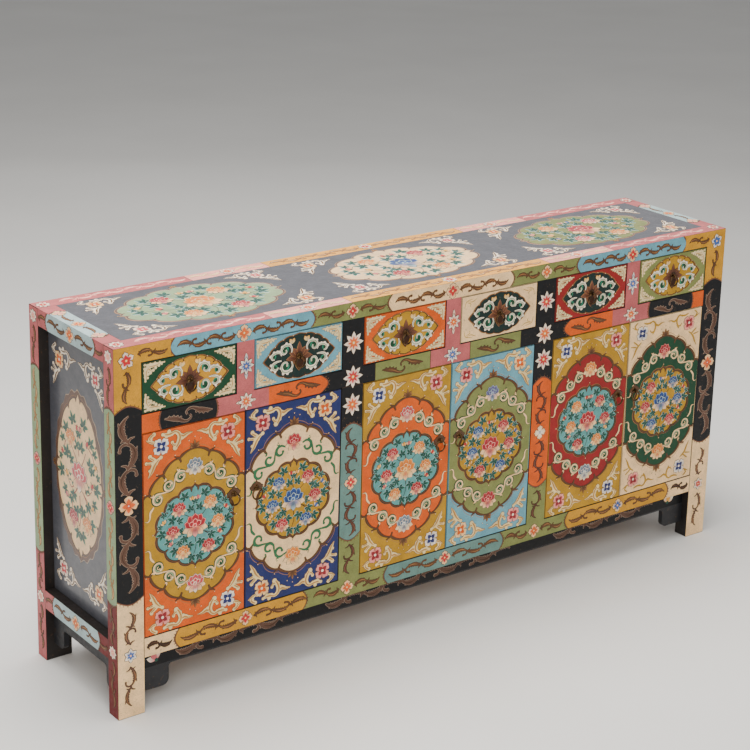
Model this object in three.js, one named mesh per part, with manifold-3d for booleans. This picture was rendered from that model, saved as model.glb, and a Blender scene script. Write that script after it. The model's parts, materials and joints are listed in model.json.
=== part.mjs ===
// Painted storage cabinet: a low sideboard of three bays, each with two drawers over two doors.
// A frame of four legs, mitred top rails, rails and stiles holds grooved panels, a drawer deck,
// partitions and aprons. The doors turn on wooden pins, and the drawers slide on the deck.
// Each drawer and door has a pull: a ring that hangs through an eye standing out of the wood.
// Millimetres, +Z up, the front faces -Y. The origin is at floor level, in the middle of the
// object's box, pulls included.

import * as THREE from 'three';
import { mergeVertices } from 'three/addons/utils/BufferGeometryUtils.js';
import Module from 'manifold-3d';

const wasm = await Module();
wasm.setup();

// Overall sizes
const WIDTH = 1600;
const DEPTH = 332;
const HEIGHT = 756;

// Frame timber, widths as seen from the front and thicknesses from the face inwards
const LEG_WIDTH = 58;
const LEG_DEPTH = 36;
const FRONT_RAIL_THICKNESS = 30;
const BAY_STILE_WIDTH = 52;
const DRAWER_STILE_WIDTH = 39;
const BAYS = 3;

// Heights of the rows, from the top down
const TOP_RAIL_HEIGHT = 35;
const DRAWER_ROW_HEIGHT = 104;
const MID_RAIL_HEIGHT = 37;
const BOTTOM_RAIL_HEIGHT = 40;
const LEG_CLEAR_HEIGHT = 118;

// Top frame and panel
const TOP_RAIL_WIDTH = 38;
const TOP_PANEL_THICKNESS = 14;
const TOP_PANEL_LEDGE = 8;

// Boards and panels
const SIDE_PANEL_THICKNESS = 8;
const SIDE_PANEL_RECESS = 22;
const SIDE_GROOVE_WALL = 4;
const BACK_PANEL_THICKNESS = 8;
const BACK_PANEL_RECESS = 8;
const PANEL_TONGUE = 5;
const BOTTOM_BOARD_THICKNESS = 12;
const DECK_THICKNESS = 10;
const GUIDE_HEIGHT = 12;
const PARTITION_THICKNESS = 12;

// Aprons under the bottom rails
const APRON_THICKNESS = 12;
const APRON_RECESS = 18;
const APRON_HEIGHT = 38;
const BRACKET_WIDTH = 65;
const SIDE_BRACKET_WIDTH = 42;
const BRACKET_HEIGHT = 83;
const BRACKET_TOE_RADIUS = 14;
const ARCH_CORNER_RADIUS = 8;

// Tenons
const RAIL_TENON_LENGTH = 24;
const SIDE_TENON_LENGTH = 13;
const STILE_TENON_LENGTH = 15;
const TENON_THICKNESS = 10;
const TENON_SETBACK = 9;
const TENON_SHOULDER = 6;
const SIDE_TENON_TO_PANEL = 4;
const LEG_TENON_WIDTH = 16;
const LEG_TENON_DEPTH = 12;
const LEG_TENON_INSET_X = 12;
const LEG_TENON_INSET_Y = 14;

// Doors
const DOOR_THICKNESS = 18;
const DOOR_GAP = 1.5;
const PIVOT_INSET = 14;
const PIVOT_SETBACK = 8;
const PIVOT_RADIUS = 3;
const PIVOT_LENGTH = 9;
const PIVOT_CLEARANCE = 0.4;
const HEEL_CLEARANCE = 0.45;
const DOOR_RING_INSET = 25.5;
const DOOR_RING_DROP = 177;
const DOOR_STOP_WIDTH = 120;
const DOOR_STOP_HEIGHT = 10;
const DOOR_STOP_CLEARANCE = 0.6;

// Drawers
const DRAWER_FRONT_THICKNESS = 18;
const DRAWER_GAP = 1.5;
const DRAWER_SIDE_CLEARANCE = 1.2;
const DRAWER_TOP_CLEARANCE = 20;
const DRAWER_BACK_CLEARANCE = 28;
const DRAWER_RING_DROP = 12.5;
const DRAWER_WALL = 9;
const DRAWER_BOTTOM = 5;

// Ring pulls: the ring turns in the eye's hole, and its wire's middle stands out from the wood
const RING_RADIUS = 13;
const RING_WIRE_RADIUS = 1.6;
const RING_STANDOFF = 5.5;
const RING_CLEARANCE = 0.5;
const RING_SEGMENTS = 32;
const RING_WIRE_SIDES = 8;
const EYE_WALL = 1.4;
const EYE_THICKNESS = 3;
const EYE_STEM_HEIGHT = 5;
const EYE_BASE_RADIUS = 5;
const EYE_BASE_THICKNESS = 1.5;

// The gap left where two pieces meet, and how far a joined or cutting solid runs past a face
const GAP = 0.3;
const OVERRUN = 1;

const ROUND_SIDES = 20;
const APRON_CURVE_SEGMENTS = 6;

// Levels and faces worked out from the sizes above
const eyeHoleRadius = RING_WIRE_RADIUS + RING_CLEARANCE;
const eyeRadius = eyeHoleRadius + EYE_WALL;
const pullProjection = RING_STANDOFF + eyeRadius;
const totalDepth = DEPTH + pullProjection;
const frontY = -totalDepth / 2 + pullProjection;
const backY = totalDepth / 2;
const sideX = WIDTH / 2;
const topFrameZ = HEIGHT - TOP_RAIL_HEIGHT;
const midRailTopZ = topFrameZ - DRAWER_ROW_HEIGHT;
const midRailZ = midRailTopZ - MID_RAIL_HEIGHT;
const bottomRailZ = LEG_CLEAR_HEIGHT;
const bottomRailTopZ = LEG_CLEAR_HEIGHT + BOTTOM_RAIL_HEIGHT;
const bayWidth = (WIDTH - 2 * LEG_WIDTH - (BAYS - 1) * BAY_STILE_WIDTH) / BAYS;
const drawerOpening = (bayWidth - DRAWER_STILE_WIDTH) / 2;
const railBackY = frontY + FRONT_RAIL_THICKNESS;
const sideRailThickness = SIDE_PANEL_RECESS + SIDE_PANEL_THICKNESS + SIDE_GROOVE_WALL;
const backPanelY = backY - BACK_PANEL_RECESS - BACK_PANEL_THICKNESS;
const topLedgeZ = HEIGHT - TOP_PANEL_THICKNESS;

// Finishes
function finish(color, roughness = 0.55, metalness = 0) {
  return () => new THREE.MeshStandardMaterial({ color, roughness, metalness });
}
const paint = {
  ochre: finish(0xc9a23f),
  cream: finish(0xd9ccb0),
  orange: finish(0xd9682f),
  green: finish(0x9aa774),
  blue: finish(0x6fb0c0),
  black: finish(0x22252a),
  charcoal: finish(0x66666c, 0.4),
  rose: finish(0xb8606a),
  red: finish(0xa33131),
  navy: finish(0x2a3b74),
  pink: finish(0xbd7f86),
};
const bronze = finish(0x5b4330, 0.4, 0.9);
const bareWood = finish(0xb08a5c, 0.75);

// A block is the lowest and highest corner of a box.
function block(x0, x1, y0, y1, z0, z1) {
  return {
    low: [Math.min(x0, x1), Math.min(y0, y1), Math.min(z0, z1)],
    high: [Math.max(x0, x1), Math.max(y0, y1), Math.max(z0, z1)],
  };
}

function grown(box, by = GAP) {
  return {
    low: box.low.map((value) => value - by),
    high: box.high.map((value) => value + by),
  };
}

// Closed three.js geometry to a solid, and back.
function toSolid(geometry) {
  const bare = geometry.clone();
  bare.deleteAttribute('normal');
  bare.deleteAttribute('uv');
  const merged = mergeVertices(bare, 1e-4);
  return new wasm.Manifold(new wasm.Mesh({
    numProp: 3,
    vertProperties: new Float32Array(merged.attributes.position.array),
    triVerts: new Uint32Array(merged.index.array),
  }));
}

function toGeometry(solid) {
  const mesh = solid.getMesh();
  const geometry = new THREE.BufferGeometry();
  geometry.setAttribute('position', new THREE.BufferAttribute(new Float32Array(mesh.vertProperties), 3));
  geometry.setIndex(new THREE.BufferAttribute(new Uint32Array(mesh.triVerts), 1));
  geometry.computeVertexNormals();
  return geometry;
}

function boxSolid(box) {
  const size = box.high.map((value, axis) => value - box.low[axis]);
  const geometry = new THREE.BoxGeometry(...size);
  geometry.translate(...box.low.map((value, axis) => value + size[axis] / 2));
  return toSolid(geometry);
}

function joined(solids) {
  return solids.reduce((whole, solid) => whole.add(solid));
}

function without(solid, cuts) {
  return cuts.reduce((rest, cut) => rest.subtract(cut), solid);
}

const cabinet = new THREE.Group();

// Adds a solid, given in the cabinet's own frame, as a mesh placed at the solid's middle.
function addPiece(name, solid, material) {
  const geometry = toGeometry(solid);
  geometry.computeBoundingBox();
  const middle = geometry.boundingBox.getCenter(new THREE.Vector3());
  geometry.translate(-middle.x, -middle.y, -middle.z);
  const mesh = new THREE.Mesh(geometry, material());
  mesh.name = name;
  mesh.position.copy(middle);
  cabinet.add(mesh);
  return mesh;
}

// Corners: distances are measured inwards from the cabinet's outer faces.
const corners = [
  { name: 'front_left', side: -1, end: -1 },
  { name: 'front_right', side: 1, end: -1 },
  { name: 'back_left', side: -1, end: 1 },
  { name: 'back_right', side: 1, end: 1 },
];

function inX(side, inward) {
  return side * (sideX - inward);
}

function inY(end, inward) {
  return end < 0 ? frontY + inward : backY - inward;
}

function cornerBlock(corner, x0, x1, y0, y1, z0, z1) {
  return block(
    inX(corner.side, x0), inX(corner.side, x1),
    inY(corner.end, y0), inY(corner.end, y1), z0, z1,
  );
}

function legBlock(corner) {
  return cornerBlock(corner, 0, LEG_WIDTH, 0, LEG_DEPTH, 0, topFrameZ);
}

function legTenon(corner) {
  return cornerBlock(
    corner,
    LEG_TENON_INSET_X, LEG_TENON_INSET_X + LEG_TENON_WIDTH,
    LEG_TENON_INSET_Y, LEG_TENON_INSET_Y + LEG_TENON_DEPTH,
    topFrameZ - OVERRUN, topFrameZ + STILE_TENON_LENGTH,
  );
}

// Long rails run from leg to leg along X, at the front or at the back.
function longRail(end, z0, z1) {
  const reach = sideX - LEG_WIDTH - GAP;
  return block(-reach, reach, inY(end, 0), inY(end, FRONT_RAIL_THICKNESS), z0, z1);
}

function longRailTenon(corner, z0, z1) {
  return cornerBlock(
    corner,
    LEG_WIDTH - RAIL_TENON_LENGTH, LEG_WIDTH + OVERRUN,
    TENON_SETBACK, TENON_SETBACK + TENON_THICKNESS,
    z0 + TENON_SHOULDER, z1 - TENON_SHOULDER,
  );
}

// Side rails run from front leg to back leg along Y.
function sideRail(side, z0, z1) {
  return block(
    inX(side, 0), inX(side, sideRailThickness),
    frontY + LEG_DEPTH + GAP, backY - LEG_DEPTH - GAP, z0, z1,
  );
}

// A side rail's tenon stands just outside the side panel's groove.
function sideRailTenon(corner, z0, z1) {
  const inner = SIDE_PANEL_RECESS - SIDE_TENON_TO_PANEL;
  return cornerBlock(
    corner,
    inner - TENON_THICKNESS, inner,
    LEG_DEPTH - SIDE_TENON_LENGTH, LEG_DEPTH + OVERRUN,
    z0 + TENON_SHOULDER, z1 - TENON_SHOULDER,
  );
}

// Panels stand in grooves, which they enter by their tongue on all four edges.
function sidePanelBlock(side) {
  return block(
    inX(side, SIDE_PANEL_RECESS), inX(side, SIDE_PANEL_RECESS + SIDE_PANEL_THICKNESS),
    frontY + LEG_DEPTH - PANEL_TONGUE, backY - LEG_DEPTH + PANEL_TONGUE,
    bottomRailTopZ - PANEL_TONGUE, topFrameZ + PANEL_TONGUE,
  );
}

const backPanelBlock = block(
  -(sideX - LEG_WIDTH + PANEL_TONGUE), sideX - LEG_WIDTH + PANEL_TONGUE,
  backPanelY, backPanelY + BACK_PANEL_THICKNESS,
  bottomRailTopZ - PANEL_TONGUE, topFrameZ + PANEL_TONGUE,
);

// Bays and what stands in them, from left to right
function bayLeft(bay) {
  return -sideX + LEG_WIDTH + bay * (bayWidth + BAY_STILE_WIDTH);
}

const bayNumbers = Array.from({ length: BAYS }, (_, bay) => bay);
const bayStileNumbers = bayNumbers.slice(0, -1);

function bayStileBlock(index) {
  const x0 = bayLeft(index) + bayWidth;
  return block(
    x0, x0 + BAY_STILE_WIDTH, frontY, railBackY,
    bottomRailTopZ + GAP, topFrameZ - GAP,
  );
}

function drawerStileBlock(bay) {
  const x0 = bayLeft(bay) + drawerOpening;
  return block(
    x0, x0 + DRAWER_STILE_WIDTH, frontY, railBackY,
    midRailTopZ + GAP, topFrameZ - GAP,
  );
}

// A stile's tenon at its upper or lower end, as wide as the stile less a shoulder each side
function stileTenon(stile, atTop) {
  const end = atTop ? stile.high[2] : stile.low[2];
  const outwards = atTop ? 1 : -1;
  return block(
    stile.low[0] + TENON_SHOULDER, stile.high[0] - TENON_SHOULDER,
    frontY + TENON_SETBACK, frontY + TENON_SETBACK + TENON_THICKNESS,
    end - outwards * OVERRUN, end + outwards * STILE_TENON_LENGTH,
  );
}

const bayStiles = bayStileNumbers.map(bayStileBlock);
const drawerStiles = bayNumbers.map(drawerStileBlock);
const bottomTenons = corners.map((corner) => longRailTenon(corner, bottomRailZ, bottomRailTopZ));
const midTenons = corners.slice(0, 2).map((corner) => longRailTenon(corner, midRailZ, midRailTopZ));
const sideTenons = corners.map((corner) => sideRailTenon(corner, bottomRailZ, bottomRailTopZ));
const legTenons = corners.map(legTenon);
const sidePanels = [-1, 1].map(sidePanelBlock);

function gapsFor(blocks) {
  return blocks.map((box) => boxSolid(grown(box)));
}

// Doors: where each one's pins stand, and which way it is hung
function doorAt(bay, half) {
  const hand = half === 0 ? -1 : 1;
  const leafWidth = (bayWidth - 3 * DOOR_GAP) / 2;
  const hingeEdge = half === 0 ? bayLeft(bay) + DOOR_GAP : bayLeft(bay) + bayWidth - DOOR_GAP;
  return {
    hand,
    leafWidth,
    hingeEdge,
    pivotX: hingeEdge - hand * PIVOT_INSET,
    meetingEdge: hingeEdge - hand * leafWidth,
  };
}

const doors = bayNumbers.flatMap((bay) => [0, 1].map((half) => doorAt(bay, half)));
const pivotY = frontY + PIVOT_SETBACK;
const doorLowZ = bottomRailTopZ + DOOR_GAP;
const doorHighZ = midRailZ - DOOR_GAP;

// The heel, the front corner of the hinge edge, swings past the frame: the chamfer keeps it clear.
const heelReach = PIVOT_INSET + DOOR_GAP - HEEL_CLEARANCE;
const heelChamfer = PIVOT_SETBACK - Math.sqrt(heelReach ** 2 - PIVOT_INSET ** 2);

function uprightPin(x, y, z0, z1, radius) {
  const geometry = new THREE.CylinderGeometry(radius, radius, z1 - z0, ROUND_SIDES);
  geometry.rotateX(Math.PI / 2);
  geometry.translate(x, y, (z0 + z1) / 2);
  return toSolid(geometry);
}

function pinSockets(railFaceZ, direction) {
  const depth = PIVOT_LENGTH - DOOR_GAP + PIVOT_CLEARANCE;
  const z0 = direction > 0 ? railFaceZ - OVERRUN : railFaceZ - depth;
  const z1 = direction > 0 ? railFaceZ + depth : railFaceZ + OVERRUN;
  return doors.map((door) => uprightPin(door.pivotX, pivotY, z0, z1, PIVOT_RADIUS + PIVOT_CLEARANCE));
}

// Legs, with a stub tenon on top and mortises for the rails and panels
function makeLegs() {
  corners.forEach((corner, index) => {
    const leg = joined([boxSolid(legBlock(corner)), boxSolid(legTenons[index])]);
    const cuts = gapsFor([bottomTenons[index], sideTenons[index], ...sidePanels, backPanelBlock]);
    if (corner.end < 0) {
      cuts.push(...gapsFor([midTenons[index]]));
    }
    addPiece(`leg_${corner.name}`, without(leg, cuts), paint.ochre);
  });
}

// A bar with mitred ends, drawn along X with its outer edge on y = 0 and its inner edge on y = width
function mitredBar(length, width, height) {
  const half = length / 2 - GAP / Math.SQRT2;
  const shape = new THREE.Shape([
    new THREE.Vector2(-half, 0),
    new THREE.Vector2(half, 0),
    new THREE.Vector2(half - width, width),
    new THREE.Vector2(-half + width, width),
  ]);
  return new THREE.ExtrudeGeometry(shape, { depth: height, bevelEnabled: false });
}

// Top frame: four mitred rails, each with a ledge inside that carries the top panel
function makeTopFrame() {
  const sides = [
    { name: 'front', length: WIDTH, turn: 0, x: 0, y: frontY },
    { name: 'back', length: WIDTH, turn: Math.PI, x: 0, y: backY },
    { name: 'left', length: DEPTH, turn: -Math.PI / 2, x: -sideX, y: (frontY + backY) / 2 },
    { name: 'right', length: DEPTH, turn: Math.PI / 2, x: sideX, y: (frontY + backY) / 2 },
  ];
  for (const side of sides) {
    const upper = mitredBar(side.length, TOP_RAIL_WIDTH, TOP_RAIL_HEIGHT);
    const ledgeHeight = topLedgeZ - topFrameZ - GAP;
    const lower = mitredBar(side.length, TOP_RAIL_WIDTH + TOP_PANEL_LEDGE, ledgeHeight);
    const bars = [upper, lower].map((bar) => {
      bar.rotateZ(side.turn);
      bar.translate(side.x, side.y, topFrameZ);
      return toSolid(bar);
    });
    const cuts = gapsFor([...legTenons, ...sidePanels, backPanelBlock]);
    if (side.name === 'front') {
      cuts.push(...gapsFor([...bayStiles, ...drawerStiles].map((stile) => stileTenon(stile, true))));
    }
    const color = side.name === 'front' || side.name === 'back' ? paint.rose : paint.blue;
    addPiece(`top_rail_${side.name}`, without(joined(bars), cuts), color);
  }
  const inset = TOP_RAIL_WIDTH + GAP;
  addPiece('top_panel', boxSolid(block(
    -sideX + inset, sideX - inset, frontY + inset, backY - inset, topLedgeZ, HEIGHT,
  )), paint.charcoal);
}

// Half of the rail's thickness stays with the stile and half with the mid rail where they cross.
const lapY = frontY + FRONT_RAIL_THICKNESS / 2;

function makeMidRail() {
  const stops = bayNumbers.map((bay) => {
    const middle = bayLeft(bay) + bayWidth / 2;
    return boxSolid(block(
      middle - DOOR_STOP_WIDTH / 2, middle + DOOR_STOP_WIDTH / 2,
      frontY + DOOR_THICKNESS + DOOR_STOP_CLEARANCE, railBackY,
      midRailZ - DOOR_STOP_HEIGHT, midRailZ + OVERRUN,
    ));
  });
  const laps = bayStiles.map((stile) => boxSolid(block(
    stile.low[0] - GAP, stile.high[0] + GAP, frontY - OVERRUN, lapY + GAP / 2,
    midRailZ - OVERRUN, midRailTopZ + OVERRUN,
  )));
  const rail = joined([boxSolid(longRail(-1, midRailZ, midRailTopZ)), ...midTenons.map(boxSolid), ...stops]);
  const cuts = [
    ...laps,
    ...gapsFor(drawerStiles.map((stile) => stileTenon(stile, false))),
    ...pinSockets(midRailZ, 1),
  ];
  addPiece('mid_rail_front', without(rail, cuts), paint.pink);
}

function makeBottomRails() {
  const front = joined([
    boxSolid(longRail(-1, bottomRailZ, bottomRailTopZ)),
    ...bottomTenons.slice(0, 2).map(boxSolid),
  ]);
  addPiece('bottom_rail_front', without(front, [
    ...gapsFor(bayStiles.map((stile) => stileTenon(stile, false))),
    ...pinSockets(bottomRailTopZ, -1),
  ]), paint.green);
  const rear = joined([
    boxSolid(longRail(1, bottomRailZ, bottomRailTopZ)),
    ...bottomTenons.slice(2).map(boxSolid),
  ]);
  addPiece('bottom_rail_back', without(rear, gapsFor([backPanelBlock])), paint.black);
  for (const [name, side, tenons] of [['left', -1, [0, 2]], ['right', 1, [1, 3]]]) {
    const rail = joined([
      boxSolid(sideRail(side, bottomRailZ, bottomRailTopZ)),
      ...tenons.map((index) => boxSolid(sideTenons[index])),
    ]);
    addPiece(`bottom_rail_${name}`, without(rail, gapsFor(sidePanels)), paint.blue);
  }
}

function makeStiles() {
  bayStiles.forEach((stile, index) => {
    const solid = joined([stile, stileTenon(stile, true), stileTenon(stile, false)].map(boxSolid));
    const lap = boxSolid(block(
      stile.low[0] - OVERRUN, stile.high[0] + OVERRUN, lapY - GAP / 2, railBackY + OVERRUN,
      midRailZ - GAP, midRailTopZ + GAP,
    ));
    addPiece(`bay_stile_${index + 1}`, without(solid, [lap]), paint.black);
  });
  drawerStiles.forEach((stile, bay) => {
    const solid = joined([stile, stileTenon(stile, true), stileTenon(stile, false)].map(boxSolid));
    addPiece(`drawer_stile_${bay + 1}`, solid, paint.pink);
  });
}

function makePanels() {
  addPiece('side_panel_left', boxSolid(sidePanels[0]), paint.charcoal);
  addPiece('side_panel_right', boxSolid(sidePanels[1]), paint.charcoal);
  addPiece('back_panel', boxSolid(backPanelBlock), paint.black);
}

// Boards inside: the cupboard floor, the drawer deck with its guides, and the partitions
function makeBoards() {
  const legGaps = gapsFor(corners.map(legBlock));
  const innerFrontY = railBackY + GAP;
  const floorX = sideX - sideRailThickness - GAP;
  const floor = boxSolid(block(
    -floorX, floorX, innerFrontY, backY - FRONT_RAIL_THICKNESS - GAP,
    bottomRailTopZ - BOTTOM_BOARD_THICKNESS, bottomRailTopZ,
  ));
  addPiece('bottom_board', without(floor, legGaps), bareWood);

  const deckX = sideX - SIDE_PANEL_RECESS - SIDE_PANEL_THICKNESS - GAP;
  const innerBackY = backPanelY - GAP;
  const guideBlock = (x0, x1) => block(
    x0, x1, innerFrontY, innerBackY, midRailTopZ - OVERRUN, midRailTopZ + GUIDE_HEIGHT,
  );
  const deckZ = midRailTopZ - DECK_THICKNESS;
  const legInnerX = sideX - LEG_WIDTH;
  const deck = joined([
    block(-deckX, deckX, innerFrontY, innerBackY, deckZ, midRailTopZ),
    ...[...bayStiles, ...drawerStiles].map((stile) => guideBlock(stile.low[0], stile.high[0])),
    guideBlock(-deckX, -legInnerX),
    guideBlock(legInnerX, deckX),
  ].map(boxSolid));
  addPiece('drawer_deck', without(deck, legGaps), bareWood);

  bayStiles.forEach((stile, index) => {
    const middle = (stile.low[0] + stile.high[0]) / 2;
    addPiece(`partition_${index + 1}`, boxSolid(block(
      middle - PARTITION_THICKNESS / 2, middle + PARTITION_THICKNESS / 2,
      innerFrontY, innerBackY, bottomRailTopZ + GAP, deckZ - GAP,
    )), bareWood);
  });
}

// An apron's outline, seen from outside: brackets at both ends and a low straight arch between them
function apronShape(length, bracketWidth) {
  const half = length / 2;
  const top = bottomRailZ - GAP;
  const archZ = bottomRailZ - APRON_HEIGHT;
  const toeZ = bottomRailZ - BRACKET_HEIGHT;
  const inner = half - bracketWidth;
  const shape = new THREE.Shape();
  shape.moveTo(-half, top);
  shape.lineTo(-half, toeZ);
  shape.lineTo(-inner - BRACKET_TOE_RADIUS, toeZ);
  shape.absarc(
    -inner - BRACKET_TOE_RADIUS, toeZ + BRACKET_TOE_RADIUS, BRACKET_TOE_RADIUS, -Math.PI / 2, 0,
  );
  shape.absarc(
    -inner + ARCH_CORNER_RADIUS, archZ - ARCH_CORNER_RADIUS, ARCH_CORNER_RADIUS,
    Math.PI, Math.PI / 2, true,
  );
  shape.absarc(
    inner - ARCH_CORNER_RADIUS, archZ - ARCH_CORNER_RADIUS, ARCH_CORNER_RADIUS,
    Math.PI / 2, 0, true,
  );
  shape.absarc(
    inner + BRACKET_TOE_RADIUS, toeZ + BRACKET_TOE_RADIUS, BRACKET_TOE_RADIUS,
    Math.PI, 1.5 * Math.PI,
  );
  shape.lineTo(half, toeZ);
  shape.lineTo(half, top);
  shape.closePath();
  return shape;
}

function makeAprons() {
  const frontSpan = WIDTH - 2 * LEG_WIDTH - 2 * GAP;
  const sideSpan = DEPTH - 2 * LEG_DEPTH - 2 * GAP;
  const frontShape = apronShape(frontSpan, BRACKET_WIDTH);
  const sideShape = apronShape(sideSpan, SIDE_BRACKET_WIDTH);
  const places = [
    { name: 'front', shape: frontShape, turn: 0, x: 0, y: frontY + APRON_RECESS },
    { name: 'left', shape: sideShape, turn: -Math.PI / 2, x: -sideX + APRON_RECESS },
    { name: 'right', shape: sideShape, turn: Math.PI / 2, x: sideX - APRON_RECESS },
  ];
  for (const place of places) {
    const settings = {
      depth: APRON_THICKNESS,
      bevelEnabled: false,
      curveSegments: APRON_CURVE_SEGMENTS,
    };
    const geometry = new THREE.ExtrudeGeometry(place.shape, settings);
    geometry.rotateX(Math.PI / 2);
    geometry.translate(0, APRON_THICKNESS, 0);
    geometry.rotateZ(place.turn);
    geometry.translate(place.x, place.y ?? (frontY + backY) / 2, 0);
    addPiece(`apron_${place.name}`, toSolid(geometry), paint.black);
  }
}

// A round bar along X
function crossBar(x, y, z, radius, length) {
  const geometry = new THREE.CylinderGeometry(radius, radius, length, ROUND_SIDES);
  geometry.rotateZ(Math.PI / 2);
  geometry.translate(x, y, z);
  return toSolid(geometry);
}

// The eye that carries a ring whose middle is at (x, z): it stands in one piece with the board
// behind it, a round foot, a stem and a round head with a hole along X for the ring's wire.
function withEye(board, x, z) {
  const pinY = frontY - RING_STANDOFF;
  const pinZ = z + RING_RADIUS - RING_WIRE_RADIUS;
  const foot = new THREE.CylinderGeometry(
    EYE_BASE_RADIUS, EYE_BASE_RADIUS, EYE_BASE_THICKNESS + OVERRUN, ROUND_SIDES,
  );
  foot.translate(x, frontY + (OVERRUN - EYE_BASE_THICKNESS) / 2, pinZ);
  const stem = boxSolid(block(
    x - EYE_THICKNESS / 2, x + EYE_THICKNESS / 2, pinY, frontY + OVERRUN,
    pinZ - EYE_STEM_HEIGHT / 2, pinZ + EYE_STEM_HEIGHT / 2,
  ));
  const head = crossBar(x, pinY, pinZ, eyeRadius, EYE_THICKNESS);
  const hole = crossBar(x, pinY, pinZ, eyeHoleRadius, EYE_THICKNESS + 2 * OVERRUN);
  return without(joined([board, toSolid(foot), stem, head]), [hole]);
}

function addRing(name, x, z) {
  const bend = RING_RADIUS - RING_WIRE_RADIUS;
  const geometry = new THREE.TorusGeometry(bend, RING_WIRE_RADIUS, RING_WIRE_SIDES, RING_SEGMENTS);
  geometry.rotateX(Math.PI / 2);
  geometry.translate(x, frontY - RING_STANDOFF, z);
  addPiece(name, toSolid(geometry), bronze);
}

function makeDoors() {
  doors.forEach((door, index) => {
    const { hand, hingeEdge, meetingEdge, pivotX } = door;
    const outline = [
      [meetingEdge, frontY],
      [hingeEdge - hand * heelChamfer, frontY],
      [hingeEdge, frontY + heelChamfer],
      [hingeEdge, frontY + DOOR_THICKNESS],
      [meetingEdge, frontY + DOOR_THICKNESS],
    ].map(([x, y]) => new THREE.Vector2(x, y));
    const settings = { depth: doorHighZ - doorLowZ, bevelEnabled: false };
    const board = new THREE.ExtrudeGeometry(new THREE.Shape(outline), settings);
    board.translate(0, 0, doorLowZ);
    const pins = [
      uprightPin(pivotX, pivotY, doorLowZ - PIVOT_LENGTH, doorLowZ + OVERRUN, PIVOT_RADIUS),
      uprightPin(pivotX, pivotY, doorHighZ - OVERRUN, doorHighZ + PIVOT_LENGTH, PIVOT_RADIUS),
    ];
    const ringX = meetingEdge + hand * DOOR_RING_INSET;
    const ringZ = doorHighZ - DOOR_RING_DROP;
    const leaf = joined([toSolid(board), ...pins]);
    const color = [paint.orange, paint.navy, paint.ochre, paint.blue, paint.ochre, paint.cream][index];
    addPiece(`door_${index + 1}`, withEye(leaf, ringX, ringZ), color);
    addRing(`door_ring_${index + 1}`, ringX, ringZ);
  });
}

function makeDrawers() {
  bayNumbers.forEach((bay) => {
    [0, 1].forEach((half) => {
      const number = 2 * bay + half + 1;
      const x0 = bayLeft(bay) + half * (drawerOpening + DRAWER_STILE_WIDTH);
      const x1 = x0 + drawerOpening;
      const middle = (x0 + x1) / 2;
      const front = boxSolid(block(
        x0 + DRAWER_GAP, x1 - DRAWER_GAP, frontY, frontY + DRAWER_FRONT_THICKNESS,
        midRailTopZ + DRAWER_GAP, topFrameZ - DRAWER_GAP,
      ));
      const ringZ = midRailTopZ + DRAWER_ROW_HEIGHT / 2 - DRAWER_RING_DROP;
      const color = [paint.green, paint.blue, paint.orange, paint.cream, paint.red, paint.green][number - 1];
      addPiece(`drawer_front_${number}`, withEye(front, middle, ringZ), color);

      const boxY = frontY + DRAWER_FRONT_THICKNESS + GAP;
      const boxZ = midRailTopZ + GAP;
      const outer = block(
        x0 + DRAWER_SIDE_CLEARANCE, x1 - DRAWER_SIDE_CLEARANCE,
        boxY, backPanelY - DRAWER_BACK_CLEARANCE, boxZ, topFrameZ - DRAWER_TOP_CLEARANCE,
      );
      const inner = block(
        outer.low[0] + DRAWER_WALL, outer.high[0] - DRAWER_WALL,
        outer.low[1] + DRAWER_WALL, outer.high[1] - DRAWER_WALL,
        boxZ + DRAWER_BOTTOM, outer.high[2] + OVERRUN,
      );
      addPiece(`drawer_box_${number}`, without(boxSolid(outer), [boxSolid(inner)]), bareWood);
      addRing(`drawer_ring_${number}`, middle, ringZ);
    });
  });
}

makeLegs();
makeTopFrame();
makeMidRail();
makeBottomRails();
makeStiles();
makePanels();
makeBoards();
makeAprons();
makeDoors();
makeDrawers();

export default cabinet;
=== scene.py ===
"""A painted storage cabinet in the Tibetan style: its paintings, ring pulls, finishes and stage.

The timber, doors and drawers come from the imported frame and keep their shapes. The paintings are thin relief
skins on their faces, drawn as marks in painter's order and cut into one mesh for each painted face.
"""
import json
import math
from collections import namedtuple

import bpy
import numpy as np
from mathutils import Matrix, Vector
from mathutils.geometry import delaunay_2d_cdt


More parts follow.
